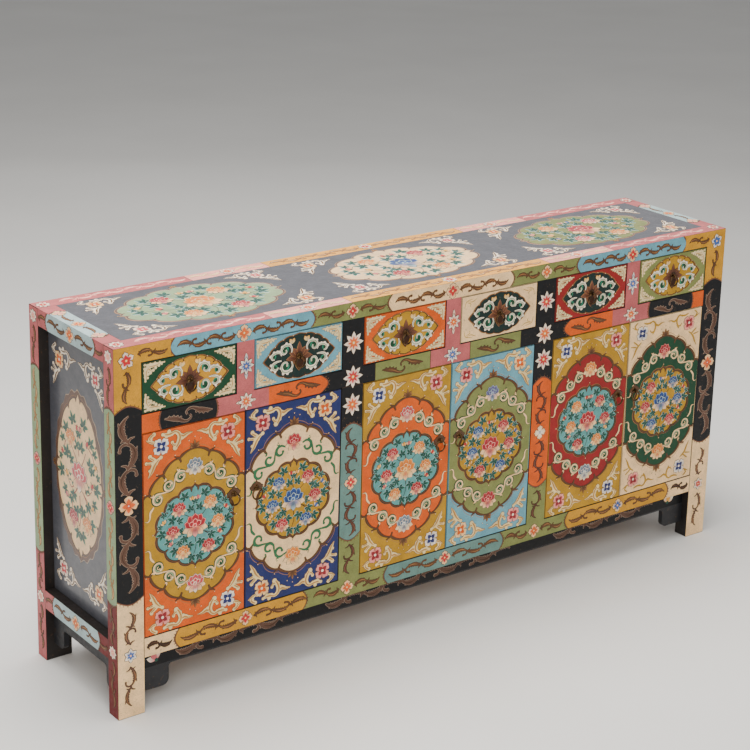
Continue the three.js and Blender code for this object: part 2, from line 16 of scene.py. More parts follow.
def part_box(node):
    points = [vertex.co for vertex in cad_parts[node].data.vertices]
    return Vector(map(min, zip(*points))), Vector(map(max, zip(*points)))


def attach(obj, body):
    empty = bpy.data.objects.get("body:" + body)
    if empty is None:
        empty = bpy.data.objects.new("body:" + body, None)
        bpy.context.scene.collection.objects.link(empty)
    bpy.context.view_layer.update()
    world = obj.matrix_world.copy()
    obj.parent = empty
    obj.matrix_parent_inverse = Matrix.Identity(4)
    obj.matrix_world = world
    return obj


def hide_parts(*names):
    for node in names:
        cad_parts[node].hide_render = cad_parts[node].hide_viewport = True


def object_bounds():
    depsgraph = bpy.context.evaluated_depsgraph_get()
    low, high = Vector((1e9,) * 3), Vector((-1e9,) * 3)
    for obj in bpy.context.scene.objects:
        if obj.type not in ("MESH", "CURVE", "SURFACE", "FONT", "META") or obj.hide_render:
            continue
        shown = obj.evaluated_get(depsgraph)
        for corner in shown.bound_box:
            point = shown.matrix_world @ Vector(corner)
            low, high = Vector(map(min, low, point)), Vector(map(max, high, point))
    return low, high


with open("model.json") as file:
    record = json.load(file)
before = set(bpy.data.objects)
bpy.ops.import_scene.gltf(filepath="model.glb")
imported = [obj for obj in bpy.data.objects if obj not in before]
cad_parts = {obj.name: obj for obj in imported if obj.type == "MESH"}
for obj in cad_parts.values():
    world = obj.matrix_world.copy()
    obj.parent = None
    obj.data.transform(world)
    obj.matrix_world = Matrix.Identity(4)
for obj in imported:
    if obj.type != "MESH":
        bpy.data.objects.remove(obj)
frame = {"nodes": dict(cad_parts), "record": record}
cad_box = [list(corner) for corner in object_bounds()]

bl_info = {
    "name": "Painted storage cabinet",
    "version": (1, 0, 0),
    "blender": (4, 5, 0),
    "location": "View3D > Sidebar > Cabinet",
    "description": "Paints a three-bay cabinet with flower medallions and adds its ring pulls, finishes and stage",
    "category": "Add Mesh",
}

MM = 0.001

# Flat spots of the object's own paints, as sRGB hex values.
INKS = {
    "orange": "#d9580c", "ochre": "#b58718", "gold": "#cb9123", "cream": "#f8cf99", "ivory": "#e9cf94",
    "navy": "#202b60", "sky": "#6aa3b2", "blue": "#335fa6", "teal": "#64877f", "turquoise": "#5a9b98",
    "green": "#7e8449", "sage": "#8fa57c", "bottle": "#104127", "leaf": "#174a3e",
    "jade": "#2c8264", "black": "#0b0c10", "night": "#102a26", "red": "#921f1e", "crimson": "#c8262f",
    "maroon": "#8c1f28", "rose": "#bb5f5f", "pink": "#c77f7f", "blush": "#f6a396", "coral": "#e3622a",
    "amber": "#eea740", "charcoal": "#515259", "umber": "#3a2313", "bronze": "#5e3c22", "tan": "#a3703f",
    "mist": "#a9bfc0", "white": "#f8e8d2", "lilac": "#8c7fae", "shade": "#6a481f", "ink": "#1a1712",
    "straw": "#b8823f", "lace": "#e6cf9c", "rouge": "#d5666c", "clay": "#5f4234", "putty": "#a8917c",
    "plate": "#5f4736", "copper": "#7f4f3a", "russet": "#57301f", "garnet": "#6c1213", "fern": "#2d6b45",
}

# Main, deep and light ink of each kind of flower, and tint, shade and light of the vines.
HUES = {
    "red": ("crimson", "maroon", "blush"), "orange": ("amber", "orange", "cream"), "blue": ("blue", "navy", "mist"),
    "pink": ("rouge", "crimson", "white"), "white": ("mist", "navy", "white"), "lilac": ("lilac", "navy", "mist"),
}
RAIL = ("bronze", "ink", "tan")
DUSK = ("clay", "putty", "umber")
STILE = ("russet", "ink", "copper")

# Lifts of marks, in parts of the relief: thick dots, raised marks, and low ones such as hollows and bands.
HIGH_RISE, RISE, LOW_RISE = 1.3, 1.0, 0.5
FINEST = 0.12   # least half width of a stroke, in mm
CHUNK = 6       # points of a stroke in one mark, so that tight curls never cross themselves
LAP = 16        # how far a plain band runs under the rounded end of its neighbour, in mm
TINY = 1e-9

# How the outlines are cut: only what is inside them is kept, and points nearer than this many mm become one.
INSIDES, SNAP = 1, 0.01
WAXED, VARNISHED = 0.12, 0.7        # coat weights of the two finishes
BACK_PART, BACK_GREY = 0.15, 0.05   # the skin's back: its height in parts of the gap, and its colour
MIXED = {"data_type": "RGBA"}       # settings of a node that mixes two colours

Mark = namedtuple("Mark", "points tint tip start axis reach lift base")

# The photo's frame and the camera's focal length and shift, in its pixels; the sensor in mm.
PHOTO_SIDE, FOCAL_PIXELS, SHIFT_PIXELS, SENSOR = 750, 1942.0, -100, 36

# Soft lamps: name, place, watts and side, all turned to one point; then the sky's strength and the floor's half side.
LIGHTS = (("key", (-2.85, -3.6, 3.0), 134, 2.6), ("fill", (3.2, -2.6, 2.4), 25, 2.6),
          ("overhead", (-0.4, 0.3, 3.2), 190, 2.4), ("wall", (1.9, 2.7, 1.9), 7, 3.4))
LIT_POINT, WARM_WHITE, SKY, FLOOR_REACH = Vector((0, 0, 0.4)), (1.0, 0.97, 0.93), 0.33, 20


def linear(hex_value):
    """An sRGB hex value as linear red, green and blue."""
    text = hex_value.lstrip("#")
    srgb = np.array([int(text[i:i + 2], 16) / 255 for i in (0, 2, 4)])
    return np.where(srgb <= 0.04045, srgb / 12.92, ((srgb + 0.055) / 1.055) ** 2.4)


def smooth(points, steps=4):
    """A curve through complex points: between two of them a cubic whose end slopes are half the neighbours' chord."""
    p = np.asarray(points, complex)
    q = np.concatenate([[2 * p[0] - p[1]], p, [2 * p[-1] - p[-2]]])
    a, b, c, d = (q[k:len(q) - 3 + k, None] for k in range(4))
    t = np.arange(steps) / steps
    curve = b + (c - a) * t / 2 + (a - 2.5 * b + 2 * c - d / 2) * t ** 2 + (1.5 * (b - c) + (d - a) / 2) * t ** 3
    return np.append(curve.ravel(), p[-1])


def petal(length, width, fullest=0.6, steps=3):
    """A petal along +across: two mirrored curves from 0 to its length, widest at fullest of the way."""
    side = smooth([0, 0.5 * fullest * length + 0.36j * width, fullest * length + 0.5j * width,
                   (0.55 + 0.45 * fullest) * length + 0.3j * width, length], steps)
    return np.concatenate([side[::-1].conj(), side[1:-1]])


def ring(radius, count=10, centre=0):
    """A circle of this radius as count points."""
    return centre + radius * np.exp(2j * np.pi * np.arange(count) / count)


def slab(low, high, round_low=0, round_high=0, upright=False):
    """A rectangle between two corners whose two ends may bulge by a part of an ellipse that many mm deep."""
    w, h = (high - low).real, (high - low).imag
    if upright:
        turned = slab(0, complex(h, w), round_low, round_high)
        return low + 1j * turned.conj()
    arc = np.sin(np.linspace(0, np.pi, 9))
    rise = np.linspace(0, h, 9)
    right = w - round_high * (1 - arc) + 1j * rise
    left = round_low * (1 - arc) + 1j * rise
    right, left = (side if bulge else side[[0, -1]] for side, bulge in ((right, round_high), (left, round_low)))
    return low + np.concatenate([right, left[::-1]])


def four_fold(quarter):
    """A closed outline from its top-to-right quarter, mirrored up and down and then left and right."""
    half = np.concatenate([quarter, quarter[::-1].conj()[1:]])
    return np.concatenate([half, -half[::-1].conj()[1:-1]])


def scaled(points, wide, high):
    """Complex points with their parts multiplied by wide and high."""
    points = np.asarray(points, complex)
    return wide * points.real + 1j * high * points.imag


def vectors(points):
    """Complex points as two-dimensional vectors."""
    return list(map(Vector, zip(points.real, points.imag)))


def as_complex(spots):
    """Two-dimensional vectors as complex points."""
    return np.array([tuple(p) for p in spots]) @ (1, 1j)


class Brush:
    """Lays marks in order; a later mark covers what lies under it. Points are complex, across + up i, in mm."""

    def __init__(self, marks=None, origin=0, turn=1, mirror=False):
        self.marks = [] if marks is None else marks
        self.origin, self.turn, self.mirror = origin, turn, mirror

    def at(self, point, degrees=0, size=1, mirror=False):
        """A brush with its origin at this point, then sized, turned and, if asked, mirrored left to right."""
        turn = size * np.exp(1j * math.radians(degrees))
        return Brush(self.marks, self.to(point), self.turn * (np.conj(turn) if self.mirror else turn),
                     self.mirror != mirror)

    def quarters(self):
        """Four brushes at this place, one for each quarter, mirrored over both axes."""
        return [self.at(0, half, 1, flip != (half > 0)) for flip in (False, True) for half in (0, 180)]

    def to(self, points):
        """These points of the brush's own, as points on the sheet."""
        points = np.asarray(points, complex)
        return self.origin + self.turn * (-points.conj() if self.mirror else points)

    def fill(self, outline, tint, tip=None, fade=None, lift=RISE, base=False):
        """One closed mark. With a tip tint the paint fades along fade: between two points, or from a point out
        to a radius. Lift is its height in parts of the relief. A base mark is the timber painted on: nothing
        shows outside it."""
        points = self.to(outline)
        area = (points.real * np.roll(points.imag, -1) - points.imag * np.roll(points.real, -1)).sum()
        points = points if area > 0 else points[::-1]
        start, axis, reach = 0, 0, 0
        if tip is not None:
            first, second = fade
            start = complex(self.to(first))
            if isinstance(second, complex):
                axis = complex(self.to(second)) - start
                axis /= abs(axis) ** 2
            else:
                reach = 1 / (second * abs(self.turn))
        self.marks.append(Mark(points, tint, tip or tint, start, axis, reach, lift, base))

    def ground(self, low, high, tint, base=False):
        """A flat rectangle of paint between two corners."""
        self.fill(slab(low, high), tint, lift=0, base=base)

    def blade(self, length, width, full, rim, room, *coat, steps=2):
        """A petal along +across over a rim that is longer and wider by the two values of room."""
        self.fill(petal(length + room[0], width + room[1], full, steps), rim)
        self.fill(petal(length, width, full, steps), *coat)

    def stroke(self, path, widths, tint, extra=0, side=0, lift=RISE):
        """A band along a path of points, widths spread evenly along it, all with this extra width. Side moves it off
        its path, to the left, in half widths."""
        path = np.asarray(path, complex)
        run = np.append(0, np.cumsum(abs(np.diff(path))))
        half = np.interp(run, np.linspace(0, run[-1], len(widths)), widths) / 2
        normal = 1j * np.gradient(path)
        normal /= np.maximum(abs(normal), TINY)
        reach = np.maximum(half + extra / 2, FINEST)
        spine = path + side * half * normal
        left, right = spine + reach * normal, spine - reach * normal
        for k in range(0, len(path) - 1, CHUNK):
            part = slice(k, k + CHUNK + 1)
            self.fill(np.append(right[part], left[part][::-1]), tint, lift=lift)


def mirrored(spot):
    """A point and its three mirror images over the axes."""
    return spot, -np.conj(spot), -spot, np.conj(spot)


def heading(direction):
    """The angle of a complex direction in degrees."""
    return math.degrees(np.angle(direction))


def outlined(brush, path, widths, tint, rim, thick):
    """A raised stroke with a rim this much wider."""
    brush.stroke(path, widths, rim, thick)
    brush.stroke(path, widths, tint)


def curl(centre, radius, start, turns, end=0.32, count=13):
    """A spiral round a centre: the angle runs evenly from start, in degrees, and the radius shrinks to this
    part of it."""
    t = np.linspace(0, 1, count)
    return centre + radius * (1 - (1 - end) * t) * np.exp(1j * np.radians(start + 360 * turns * t))


def leaf(brush, length, width, tint, tip, rim="umber", vein=None, full=0.45):
    """A pointed leaf along +across, its paint fading to the tip, with a dark rim and a fine vein."""
    brush.fill(petal(length + 1.3, width + 1.5, full, 2) - 0.5, rim)
    brush.fill(petal(length, width, full, 2), tint, tip, (0.3 * length, complex(length)))
    if vein:
        brush.stroke([0.15 * length, 0.8 * length], [0.9, 0.3], vein)


def star(brush, count, radius, width, edge, heart, eye="amber", turn=90, rim="umber", deep=None):
    """A flower seen from the front: petals that pale from the heart outwards, an inner star, deeper if asked, and a
    dotted eye. Up to five petals are broad, with a corner on each side of the tip."""
    if count < 6:
        side = np.array([0.1+0.1j, 0.3+0.31j, 0.5+0.44j, 0.7+0.52j, 0.84+0.36j, 0.88+0.16j])
        half = np.append(side.real + (1j if count < 5 else 0.76j) * side.imag * width / radius, 1.04)
        shape = np.append(half[::-1].conj(), half[:-1]) * radius
        inner, pale = petal(0.7 * radius, 0.5 * width, 0.5, 2), 0.9
    else:
        shape, pale = petal(radius, width, 0.55, 2), 0.75
        inner = petal(0.62 * radius, 0.5 * width, 0.45, 2)
    fringe = shape * (1 + 0.9 / radius) + 0.85j * np.sign(shape.imag.round(3))
    for outline, *coat in ((fringe, rim), (shape, heart, edge, (0, pale * radius)), (inner, deep or heart)):
        for k in range(count):
            brush.at(0, turn + 360 / count * k).fill(outline, *coat)
    brush.fill(ring(0.17 * radius, 8), eye)
    brush.fill(ring(0.09 * radius, 6), "white")


def rosette(brush, place, size, heart, eye="amber"):
    """A small flower of four broad petals, one to each side."""
    star(brush.at(place), 4, size, size - 2, "cream", heart, eye, 0)


def peony(brush, size, hue):
    """A peony seen from the side: pale petals curling out below, a fan of light-edged ones, a curl in its heart."""
    main, deep, light = HUES[hue]
    steps = 2 if size > 18 else 1
    rim = "umber" if size > 15 else deep
    low = [(196, 1.1), (-16, 1.1), (228, 0.95), (-48, 0.95)]
    for degrees, long, wide, base, tip in ([(*petals, 0.5, main, "cream") for petals in low]
                                           + [(270, 0.86, 0.44, deep, light)]):
        brush.at(0, degrees).blade(long * size, wide * size, 0.66, rim, (0.7, 1.3), base, tip,
                                   (0.3 * size, 0.45 * size), steps=steps)
    for degrees, long in ((158, 0.96), (22, 0.96), (124, 1.0), (56, 1.0), (90, 0.98)):
        place = brush.at(0, degrees)
        place.blade(long * size, 0.6 * size, 0.7, rim, (0.6, 1.2), light, steps=steps)
        place.fill(petal(0.95 * long * size, 0.55 * size, 0.7, steps), deep, main, (0.4 * size, 0.85 * size))
    for degrees in (150, 30, 90):
        place = brush.at(0.02j * size, degrees)
        place.fill(petal(0.58 * size, 0.4 * size, 0.7, steps), light)
        place.fill(petal(0.52 * size, 0.31 * size, 0.7, steps), main, deep, (0.1 * size, 0.4 * size))
    brush.stroke(curl(0.04j * size, 0.2 * size, 200, -0.8, 0.4, 8), [0.1 * size, 0.06 * size], light)


def bud(brush, size, hue, pale="cream"):
    """A bud on its calyx: two side petals and a middle one, opening upwards."""
    tint = HUES[hue][0]
    for degrees, tip in ((132, pale), (48, pale), (90, tint)):
        brush.at(0, degrees).blade(size, 0.52 * size, 0.55, "umber", (0.6, 1.1), tint, tip, (0.1 * size, 0.7 * size))
    brush.fill(ring(0.2 * size, 6), "leaf")


def sprig(brush, size, rim):
    """Three pointed leaves from one stalk and two small ones under them."""
    for degrees, long in ((205, 0.6), (-25, 0.6), (148, 0.9), (32, 0.9), (90, 1.0)):
        brush.at(0, degrees).blade(long * size, 0.4 * size, 0.5, rim, (0.6, 0.9), "leaf", "jade",
                                   (0.5 * size, complex(long * size)), steps=1)


def merged(brush, strokes, lumps, tint, rim, thick, dark=None):
    """Strokes and round lumps that read as one leafy shape: every rim first, then every body, then a darker tint
    along one side of each stroke. A lump is (place, radius)."""
    for extra, coat in ((thick, rim), (0, tint)):
        for path, widths in strokes:
            brush.stroke(path, widths, coat, extra)
        for place, radius in lumps:
            brush.fill(ring(radius + extra / 2, 8, place), coat)
    if dark:
        for path, widths in strokes:
            brush.stroke(path[1:], [0.4 * w for w in widths], dark, side=-0.6)


def pearls(brush, points, radius=1.2, tint="cream"):
    """Round dots of thick paint at these points."""
    for point in points:
        brush.fill(ring(radius + 0.5, 6, point), "umber", lift=HIGH_RISE)
        brush.fill(ring(radius, 6, point), tint, lift=HIGH_RISE)


def spray(brush, hue, tint="ivory", dark="straw", fine=False):
    """A corner spray with its corner at the origin: a leafy arm along each edge, the long one with a round hook, a
    small curl in the corner and a flower between them."""
    thin = 0.45 if fine else 1.05
    strokes = [(smooth(path, 2), [w * thin for w in widths]) for path, widths in (
        ([43+9j, 52+12j, 60+12j, 66+10j], [4, 8, 8, 6]),
        ([62+14j, 69+9j, 77+13j, 80+22j, 77+32j, 72+40j], [5, 6.5, 8.5, 9, 9, 6]),
        ([75+34j, 68+35j, 63+29j], [6, 6, 3]),
        ([78+16j, 88+22j, 97+18j, 109+17j], [8, 9.5, 5.5, 0.6]),
        ([39+54j, 30+60j, 23+68j, 18+79j, 11+91j], [4, 7.5, 10, 7, 0.6]),
        ([29+60j, 20+53j, 14+49j], [6, 7, 5]), ([23+63j, 13+61j, 6+60j], [6, 5, 3.4]),
        ([28+22j, 19+20j, 7+14j], [4, 6.5, 0.8]), ([20+20j, 15+12j, 24+5j], [5, 7.5, 5]),
    )]
    lumps = [(43+9j, 3.6), (57+6j, 4.4), (70+41j, 5.4), (64+29j, 3.6), (39+54j, 4), (15+48j, 4.4), (7+60j, 3.4),
             (24+5j, 4.2), (16+13j, 5), (86+24j, 4), (51+15j, 3.4), (79+33j, 3.6), (28+64j, 4), (14+76j, 3)]
    if fine:
        merged(brush, strokes, [], tint, "shade", 0.4)
    else:
        merged(brush, strokes, lumps, tint, "shade", 1.9, dark)
    main, deep, light = HUES[hue]
    star(brush.at(39.5+32.5j), 4, 19, 18, "white" if hue == "blue" else light, main, "white", 50, "shade", deep)


def four_sprays(brush, half_wide, half_high):
    """Pale sprays in the corners of an oblong round the brush."""
    for across in (-1, 1):
        for up in (-1, 1):
            corner = corner_brush(brush, across, up, half_wide, half_high, 0.98)
            spray(corner, "pink" if across == up else "orange", "white", "shade")


def scallops(cusps, bulge, steps=4):
    """Arcs from cusp to cusp, each bowed out to the left of its run by this part of its chord."""
    cusps = np.asarray(cusps, complex)
    pieces = []
    for a, b, bow in zip(cusps[:-1], cusps[1:], np.broadcast_to(bulge, len(cusps) - 1)):
        side = 1j * (b - a) * bow
        arc = [a, 0.78 * a + 0.22 * b + 0.72 * side, (a + b) / 2 + side, 0.22 * a + 0.78 * b + 0.72 * side, b]
        pieces.append(smooth(arc, steps)[:-1])
    return np.append(np.concatenate(pieces), cusps[-1])


def wave_scrolls(brush, heads, radius, tint, heart, rim, bold):
    """A running scroll along complex points: at each head the line circles it and curls in, to the other hand each
    time, and the next one leaves this circle where both touch the line. A bold one has a shaded hollow."""
    hand = -1
    turns, end, knob, edge, thick = (0.9, 0.62, 2.4, "shade", 1.0) if bold else (0.8, 0.5, 2.8, rim, 0.6)
    widths = [0.6, 3.0, 3.8, 4.0, 3.8, 3.4, 3.0, 2.6] if bold else [0.8, 3.0, 4.0, 5.4, 6.2, 5.4, 4.2, 3.0]
    for k, (before, c) in enumerate(zip(heads, heads[1:])):
        reach = radius if k else 0.4 * radius
        slack = math.sqrt(max(abs(c - before) ** 2 - (reach + radius) ** 2, 1))
        along = (c - before) / (slack + 1j * hand * (reach + radius))
        along /= abs(along)
        leave, meet = before + 1j * hand * reach * along, c - 1j * hand * radius * along
        start = heading(meet - c)
        outer = curl(c, radius, start, turns * hand, end, 19)
        path = np.concatenate([[leave - 3 * along, leave, (leave + meet) / 2], outer])
        if bold:
            brush.fill(ring(0.95 * radius, 14, c), heart, lift=LOW_RISE)
            brush.fill(ring(0.5 * radius, 10, c), rim, lift=LOW_RISE)
            brush.stroke(curl(c, 0.36 * radius, start + 300 * hand, 0.7 * hand, 0.4, 8), [2.0, 1.6], tint,
                         lift=LOW_RISE)
        merged(brush, [(path, widths)], [(outer[-1], knob)], tint, edge, thick)
        if bold:
            brush.stroke(path[2:-3], [1.2, 2.3, 2.6, 2.4, 1.8], rim, side=-2.3 * hand)
        out = c / abs(c)
        for lean, long in ((30 * hand, 7.5), (-35 * hand, 5)):
            horn = brush.at(c + 1.02 * radius * out, heading(out) + lean)
            if bold:
                horn.fill(petal(long + 0.7, 4.6, 0.3, 2), "shade")
            horn.fill(petal(long, 3.4, 0.3, 2), tint)
        brush.fill(ring(1.5, 7, c + 1.65 * radius * out), rim if bold else tint)
        hand = -hand


def acanthus(brush, length, height, fat, tints, last):
    """One leaf of a scroll from its foot at 0: a crescent bowed to +up that ends in a back-turned curl, or in a
    point if it is the last, with teeth on its inner side and a spur to each side of its foot."""
    tint, shade, light = tints
    spots = [-0.05j, 0.25+0.22j, 0.5+0.36j, 0.72+0.32j, 0.92+0.12j]
    spots += [1.02-0.06j] if last else [0.99-0.16j, 0.9-0.4j, 0.75-0.44j]
    widths = [0.25, 0.7, 1.0, 0.85, 0.5] + ([0.1] if last else [0.42, 0.4, 0.36])
    full = fat * height
    place = scaled(spots, length, height)
    teeth = [(p - 0.52j * w * full + 0.02 * length, 0.06 * height) for p, w in zip(place[1:4], widths[1:4])]
    teeth += [((a + b) / 2 + 0.02j * height, 0.055 * height) for (a, _), (b, _) in zip(teeth[:-1], teeth[1:])]
    if not last:
        teeth.append((place[-1], 0.28 * full))
    strokes = [(smooth(place, 3), [w * full for w in widths])]
    for spur in ([0.06, 0.16-0.14j, 0.2-0.38j], [0.1+0.06j, 0.13+0.24j, 0.06+0.4j],
                 [0.62+0.36j, 0.72+0.46j, 0.84+0.5j]):
        strokes.append((smooth(scaled(spur, length, height), 2), [0.46 * full, 0.3 * full, 0.3]))
    merged(brush, strokes, teeth, tint, shade, 1.3 if height > 20 else 0.8)
    brush.stroke(smooth(place[1:5], 3), [0.5, 0.16 * full + 0.4, 0.5], light, side=0.5)


def vine(brush, length, height, tints=RAIL, unit=2.1, fat=0.54):
    """A scroll of leaves along +across, bowed to each side in turn, the last one pointed. A leaf is about unit
    heights long."""
    count = max(1, round(length / (unit * height)))
    pitch = length / count
    for k in range(count):
        place = brush.at(k * pitch, 180, 1, True) if k % 2 else brush.at(k * pitch)
        acanthus(place, pitch, height, fat, tints, k == count - 1)


def twin_vines(brush, centre, reach, height, upright=False, gap=19, **look):
    """Two vines running away from a flower, one each way. Reach is one length or two."""
    for k, length in enumerate(np.broadcast_to(reach, 2)):
        vine(brush.at(centre, 180 * k + (90 if upright else 0)).at(gap), length - gap, height, **look)


def twin_leaf(brush, reach, height, tint, shade, light):
    """Two long comb leaves that curl round each other, one being the other turned half round."""
    path = scaled([1-0.02j, 0.7+0.06j, 0.43+0.2j, 0.2+0.42j, 0.02+0.42j, -0.1+0.22j, -0.05+0.02j], reach, height)
    lobes = [(place, 0.07 * height) for place in scaled([0.8-0.1j, 0.62-0.1j, 0.46-0.02j, 0.32+0.08j], reach, height)]
    widths = [w * height for w in (0.03, 0.24, 0.36, 0.28, 0.17, 0.13, 0.1)]
    for turn in (0, 180):
        half = brush.at(0, turn)
        merged(half, [(smooth(path, 3), widths)], lobes, tint, shade, 1.3)
        half.stroke(smooth(path[1:5], 3), [0.4, 1.3, 0.5], light, side=0.4)


def crest(brush, size, tint="bronze"):
    """A small fan of five narrow leaves pointing up, as at the tips of the rings."""
    for degrees, long in ((172, 0.7), (8, 0.7), (136, 0.9), (44, 0.9), (90, 1.0)):
        leaf(brush.at(0, degrees), long * size, 0.32 * size, tint, "tan", full=0.6)


def bouquet(brush, wide, high, hues, rim="mist", flowers=6, stem=("umber", 1.0)):
    """A peony with up to six flowers, buds and leaves round it on thin branches, for an oval of these half sizes."""

    def spot(x, y):
        return complex(x * wide / 90, y * high / 86)

    size = math.sqrt(wide * high) / 86
    twigs = (
        [(0, 6), (-14, 20), (-30, 30)], [(0, 6), (18, 20), (30, 32)], [(-18, -10), (-36, -18), (-54, -8)],
        [(16, -8), (34, -16), (54, -8)], [(-8, -14), (-26, -24), (-50, -30), (-62, -26)],
        [(8, -14), (30, -22), (52, -30), (64, -26)], [(-22, -22), (-34, -36), (-30, -50)],
        [(20, -18), (36, -32), (34, -50)], [(0, 24), (-4, 42), (4, 54)], [(-36, 42), (-58, 34), (-68, 18)],
        [(36, 42), (58, 34), (70, 22)], [(0, -22), (2, -46), (-4, -64)], [(-54, -8), (-68, -2), (-80, -2)],
        [(54, -6), (68, -2), (80, 0)],
    )
    tint, thick = stem
    for twig in twigs:
        brush.stroke(smooth([spot(*p) for p in twig], 3), [w * thick for w in (1.9, 1.6, 1.1)], tint)
    for x, y, degrees, scale in (
        (-23, 62, 30, 1), (22, 62, -30, 1), (-10, 34, 20, 0.9), (10, 34, -20, 0.9), (-53, 48, 40, 0.9),
        (52, 46, -40, 0.9), (-50, 20, 60, 1), (-37, 15, -60, 0.8), (46, 20, -60, 1), (58, 14, 20, 0.8),
        (-30, -6, 120, 0.8), (31, -8, -120, 0.8), (-74, -4, 90, 1), (73, -3, -90, 1), (-24, -24, 150, 0.9),
        (-15, -40, 200, 1), (14, -37, 160, 1), (36, -28, 220, 0.9), (-60, -24, 100, 0.8), (62, -22, -100, 0.8),
        (-46, -44, 150, 1), (50, -46, 210, 1), (-8, -66, 150, 0.95), (9, -67, 210, 0.95), (-36, -30, 170, 0.7),
        (0, 48, 0, 0.7), (-70, 34, 30, 0.7), (68, 36, -30, 0.7), (-78, 12, 60, 0.6), (80, 12, -60, 0.6),
    ):
        sprig(brush.at(spot(x, y), degrees, size * (1 if flowers > 3 else 1.02)), 16 * scale, rim)
    for x, y, hue in ((-69, 17, 1), (69, 20, 0), (-6, 53, 1), (7, 53, 2), (-53, -32, 2), (54, -30, 0)):
        bud(brush.at(spot(x, y), -40 if x > 40 else 40 if x < -40 else 0, size), 9.5, hues[hue % len(hues)])
    around = ((31, -53, 0), (-36, 39, 0), (-28, -54, 1), (35, 40, 1), (-51, -7, 0), (53, -5, 1))
    for x, y, hue in around[:flowers]:
        peony(brush.at(spot(x, y), 0, size), 16.5, hues[hue % len(hues)])
    for x, y, hue in around[flowers:]:
        bud(brush.at(spot(x, y), -0.6 * x, size), 11, hues[hue % len(hues)])
    peony(brush.at(-3j, 0, size), 27, hues[-1])


def medallion(brush, wide, high, ground, edge="bronze", line="ink", bow=0.21):
    """A scalloped oval with points at its four ends, its edge painted between two fine lines."""
    cusps = [1j, 0.09+0.92j, 0.42+0.79j, 0.76+0.49j, 0.95+0.08j, 1]
    shape = scaled(four_fold(scallops(cusps, [-0.1, bow, bow, bow, -0.1], 3)), wide, high)
    for out, tint in ((4.8, "tan"), (3.8, line), (2.6, edge), (-1.0, line)):
        brush.fill(shape * (1 + out / max(wide, high)), tint)
    brush.fill(shape * (1 - 2.4 / max(wide, high)), ground, lift=0)
    for cusp in scaled(cusps[1:5], wide, high):
        for place in mirrored(cusp):
            brush.at(place * 1.01, heading(-place)).blade(8.6, 4, 0.3, line, (1.4, 1.4), edge)
    pearls(brush, [1j * (high + 6), -1j * (high + 6), wide + 6, -wide - 6], 1.3)


def leaf_sheet(half_wide, half_high, ground):
    """A brush on a door or drawer face in this ground, edged by a dark line: part painted edge, part painted gap
    shade.
    """
    brush, corner, line = Brush(), complex(half_wide, half_high), 1.1+1.1j
    # The ink sheet shows as a 1.1 mm rim round the ground: a dark painted edge that is also painted shade of the gap
    # round the leaf.
    brush.ground(-corner, corner, "ink", base=True)
    brush.ground(line - corner, corner - line, ground)
    return brush


def door_painting(half_wide, half_high, row, handle):
    """A door: corner sprays on the ground, an ogee ring with wave scrolls, and a scalloped medallion of flowers."""
    brush = leaf_sheet(half_wide, half_high, row.ground)
    joints = [158j, 33+145j, 70+118j, 101+84j, half_wide + 8 + 70j]
    spurs = [46+150j, 86+119j, 112+83j]
    hooks = [30+137j, 64+110j, 94+76j]
    arcs = scallops(joints, [0.1, 0.17, 0.17, 0.1])
    inside = arcs[arcs.real < half_wide - 1]
    quarter = np.append(inside, complex(half_wide - 1, inside[-1].imag - 3))
    brush.fill(four_fold(quarter), row.ring, lift=0)
    parts = [scallops(joints[k:k + 2], 0.15 if k else 0.1, 3) for k in range(3)]
    strokes = [(np.append(part, [(part[-1] + spur) / 2 + 1, spur]), [1.8, 2.8, 4.0, 5.2, 3.4, 0.6])
               for part, spur in zip(parts, spurs)]
    strokes += [(smooth([joint + 1 + 1j, (joint + hook) / 2 + 1, hook], 2), [5.4, 4, 1.2])
                for joint, hook in zip(joints[1:], hooks)]
    strokes.append((quarter[quarter.real > 101], [2.4, 1.6]))
    for lane in brush.quarters():
        lane.stroke(quarter[:-1] * 1.03 + 2j, [1.1, 1.1], "tan", lift=LOW_RISE)
        merged(lane, strokes, [(hook + 1, 1.7) for hook in hooks], "bronze", "umber", 1.7)
        pearls(lane, [spur - 2 + 3j for spur in spurs])
    for up in (1, -1):
        crest(brush.at(160j * up, 90 - 90 * up), 16)
        pearls(brush, [182j * up, 13+176j * up, -13+176j * up])

    scroll, hollow, rim = ("fern", "bottle", "bottle") if row.slim else ("cream", "sage", "bottle")
    for lane in brush.quarters():
        wave_scrolls(lane, [14+117j, 32+107j, 58+94j, 82+70j], 12.2, scroll, hollow, rim, not row.slim)
        tail = smooth([91+57j, 99+47j, 100+36j, 104+30j, 111+31j], 3)
        outlined(lane, tail, [3, 4.6, 3.6, 2.6, 0.6], scroll, rim, 1.2)
    peony(brush.at(120j), 20, row.above)
    peony(brush.at(-125j), 22, row.below)

    medallion(brush, 88, 84, row.heart)
    bouquet(brush, 88, 84, row.flowers.split())

    outer, inner = row.corners.split()
    for across, up, hue in ((-1, 1, outer), (1, 1, inner), (-1, -1, inner), (1, -1, outer)):
        corner = corner_brush(brush, across, up, half_wide, half_high)
        spray(corner, hue, "ochre" if row.fine else "ivory", fine=row.fine)
    half = [15.5j, 3+11j, 8+8.5j, 10+6.5j, 10.5+5.5j, 15+3j, 14-1j, 9-5j, -6.5j]
    plate = np.array(half + [-np.conj(p) for p in half[-2:0:-1]])
    pin = brush.at(handle + 11.4j)
    pin.fill(plate * 1.1, "ink")
    pin.fill(plate, "plate", "bronze", (-6j, 14j))
    return brush.marks


def corner_brush(brush, across, up, half_wide, half_high, size=1):
    """A brush at one corner whose +across and +up run inwards along the two edges."""
    place = brush.at(complex(across * half_wide, up * half_high))
    return place.at(0, 0, size, across > 0) if up < 0 else place.at(0, 180, size, across < 0)


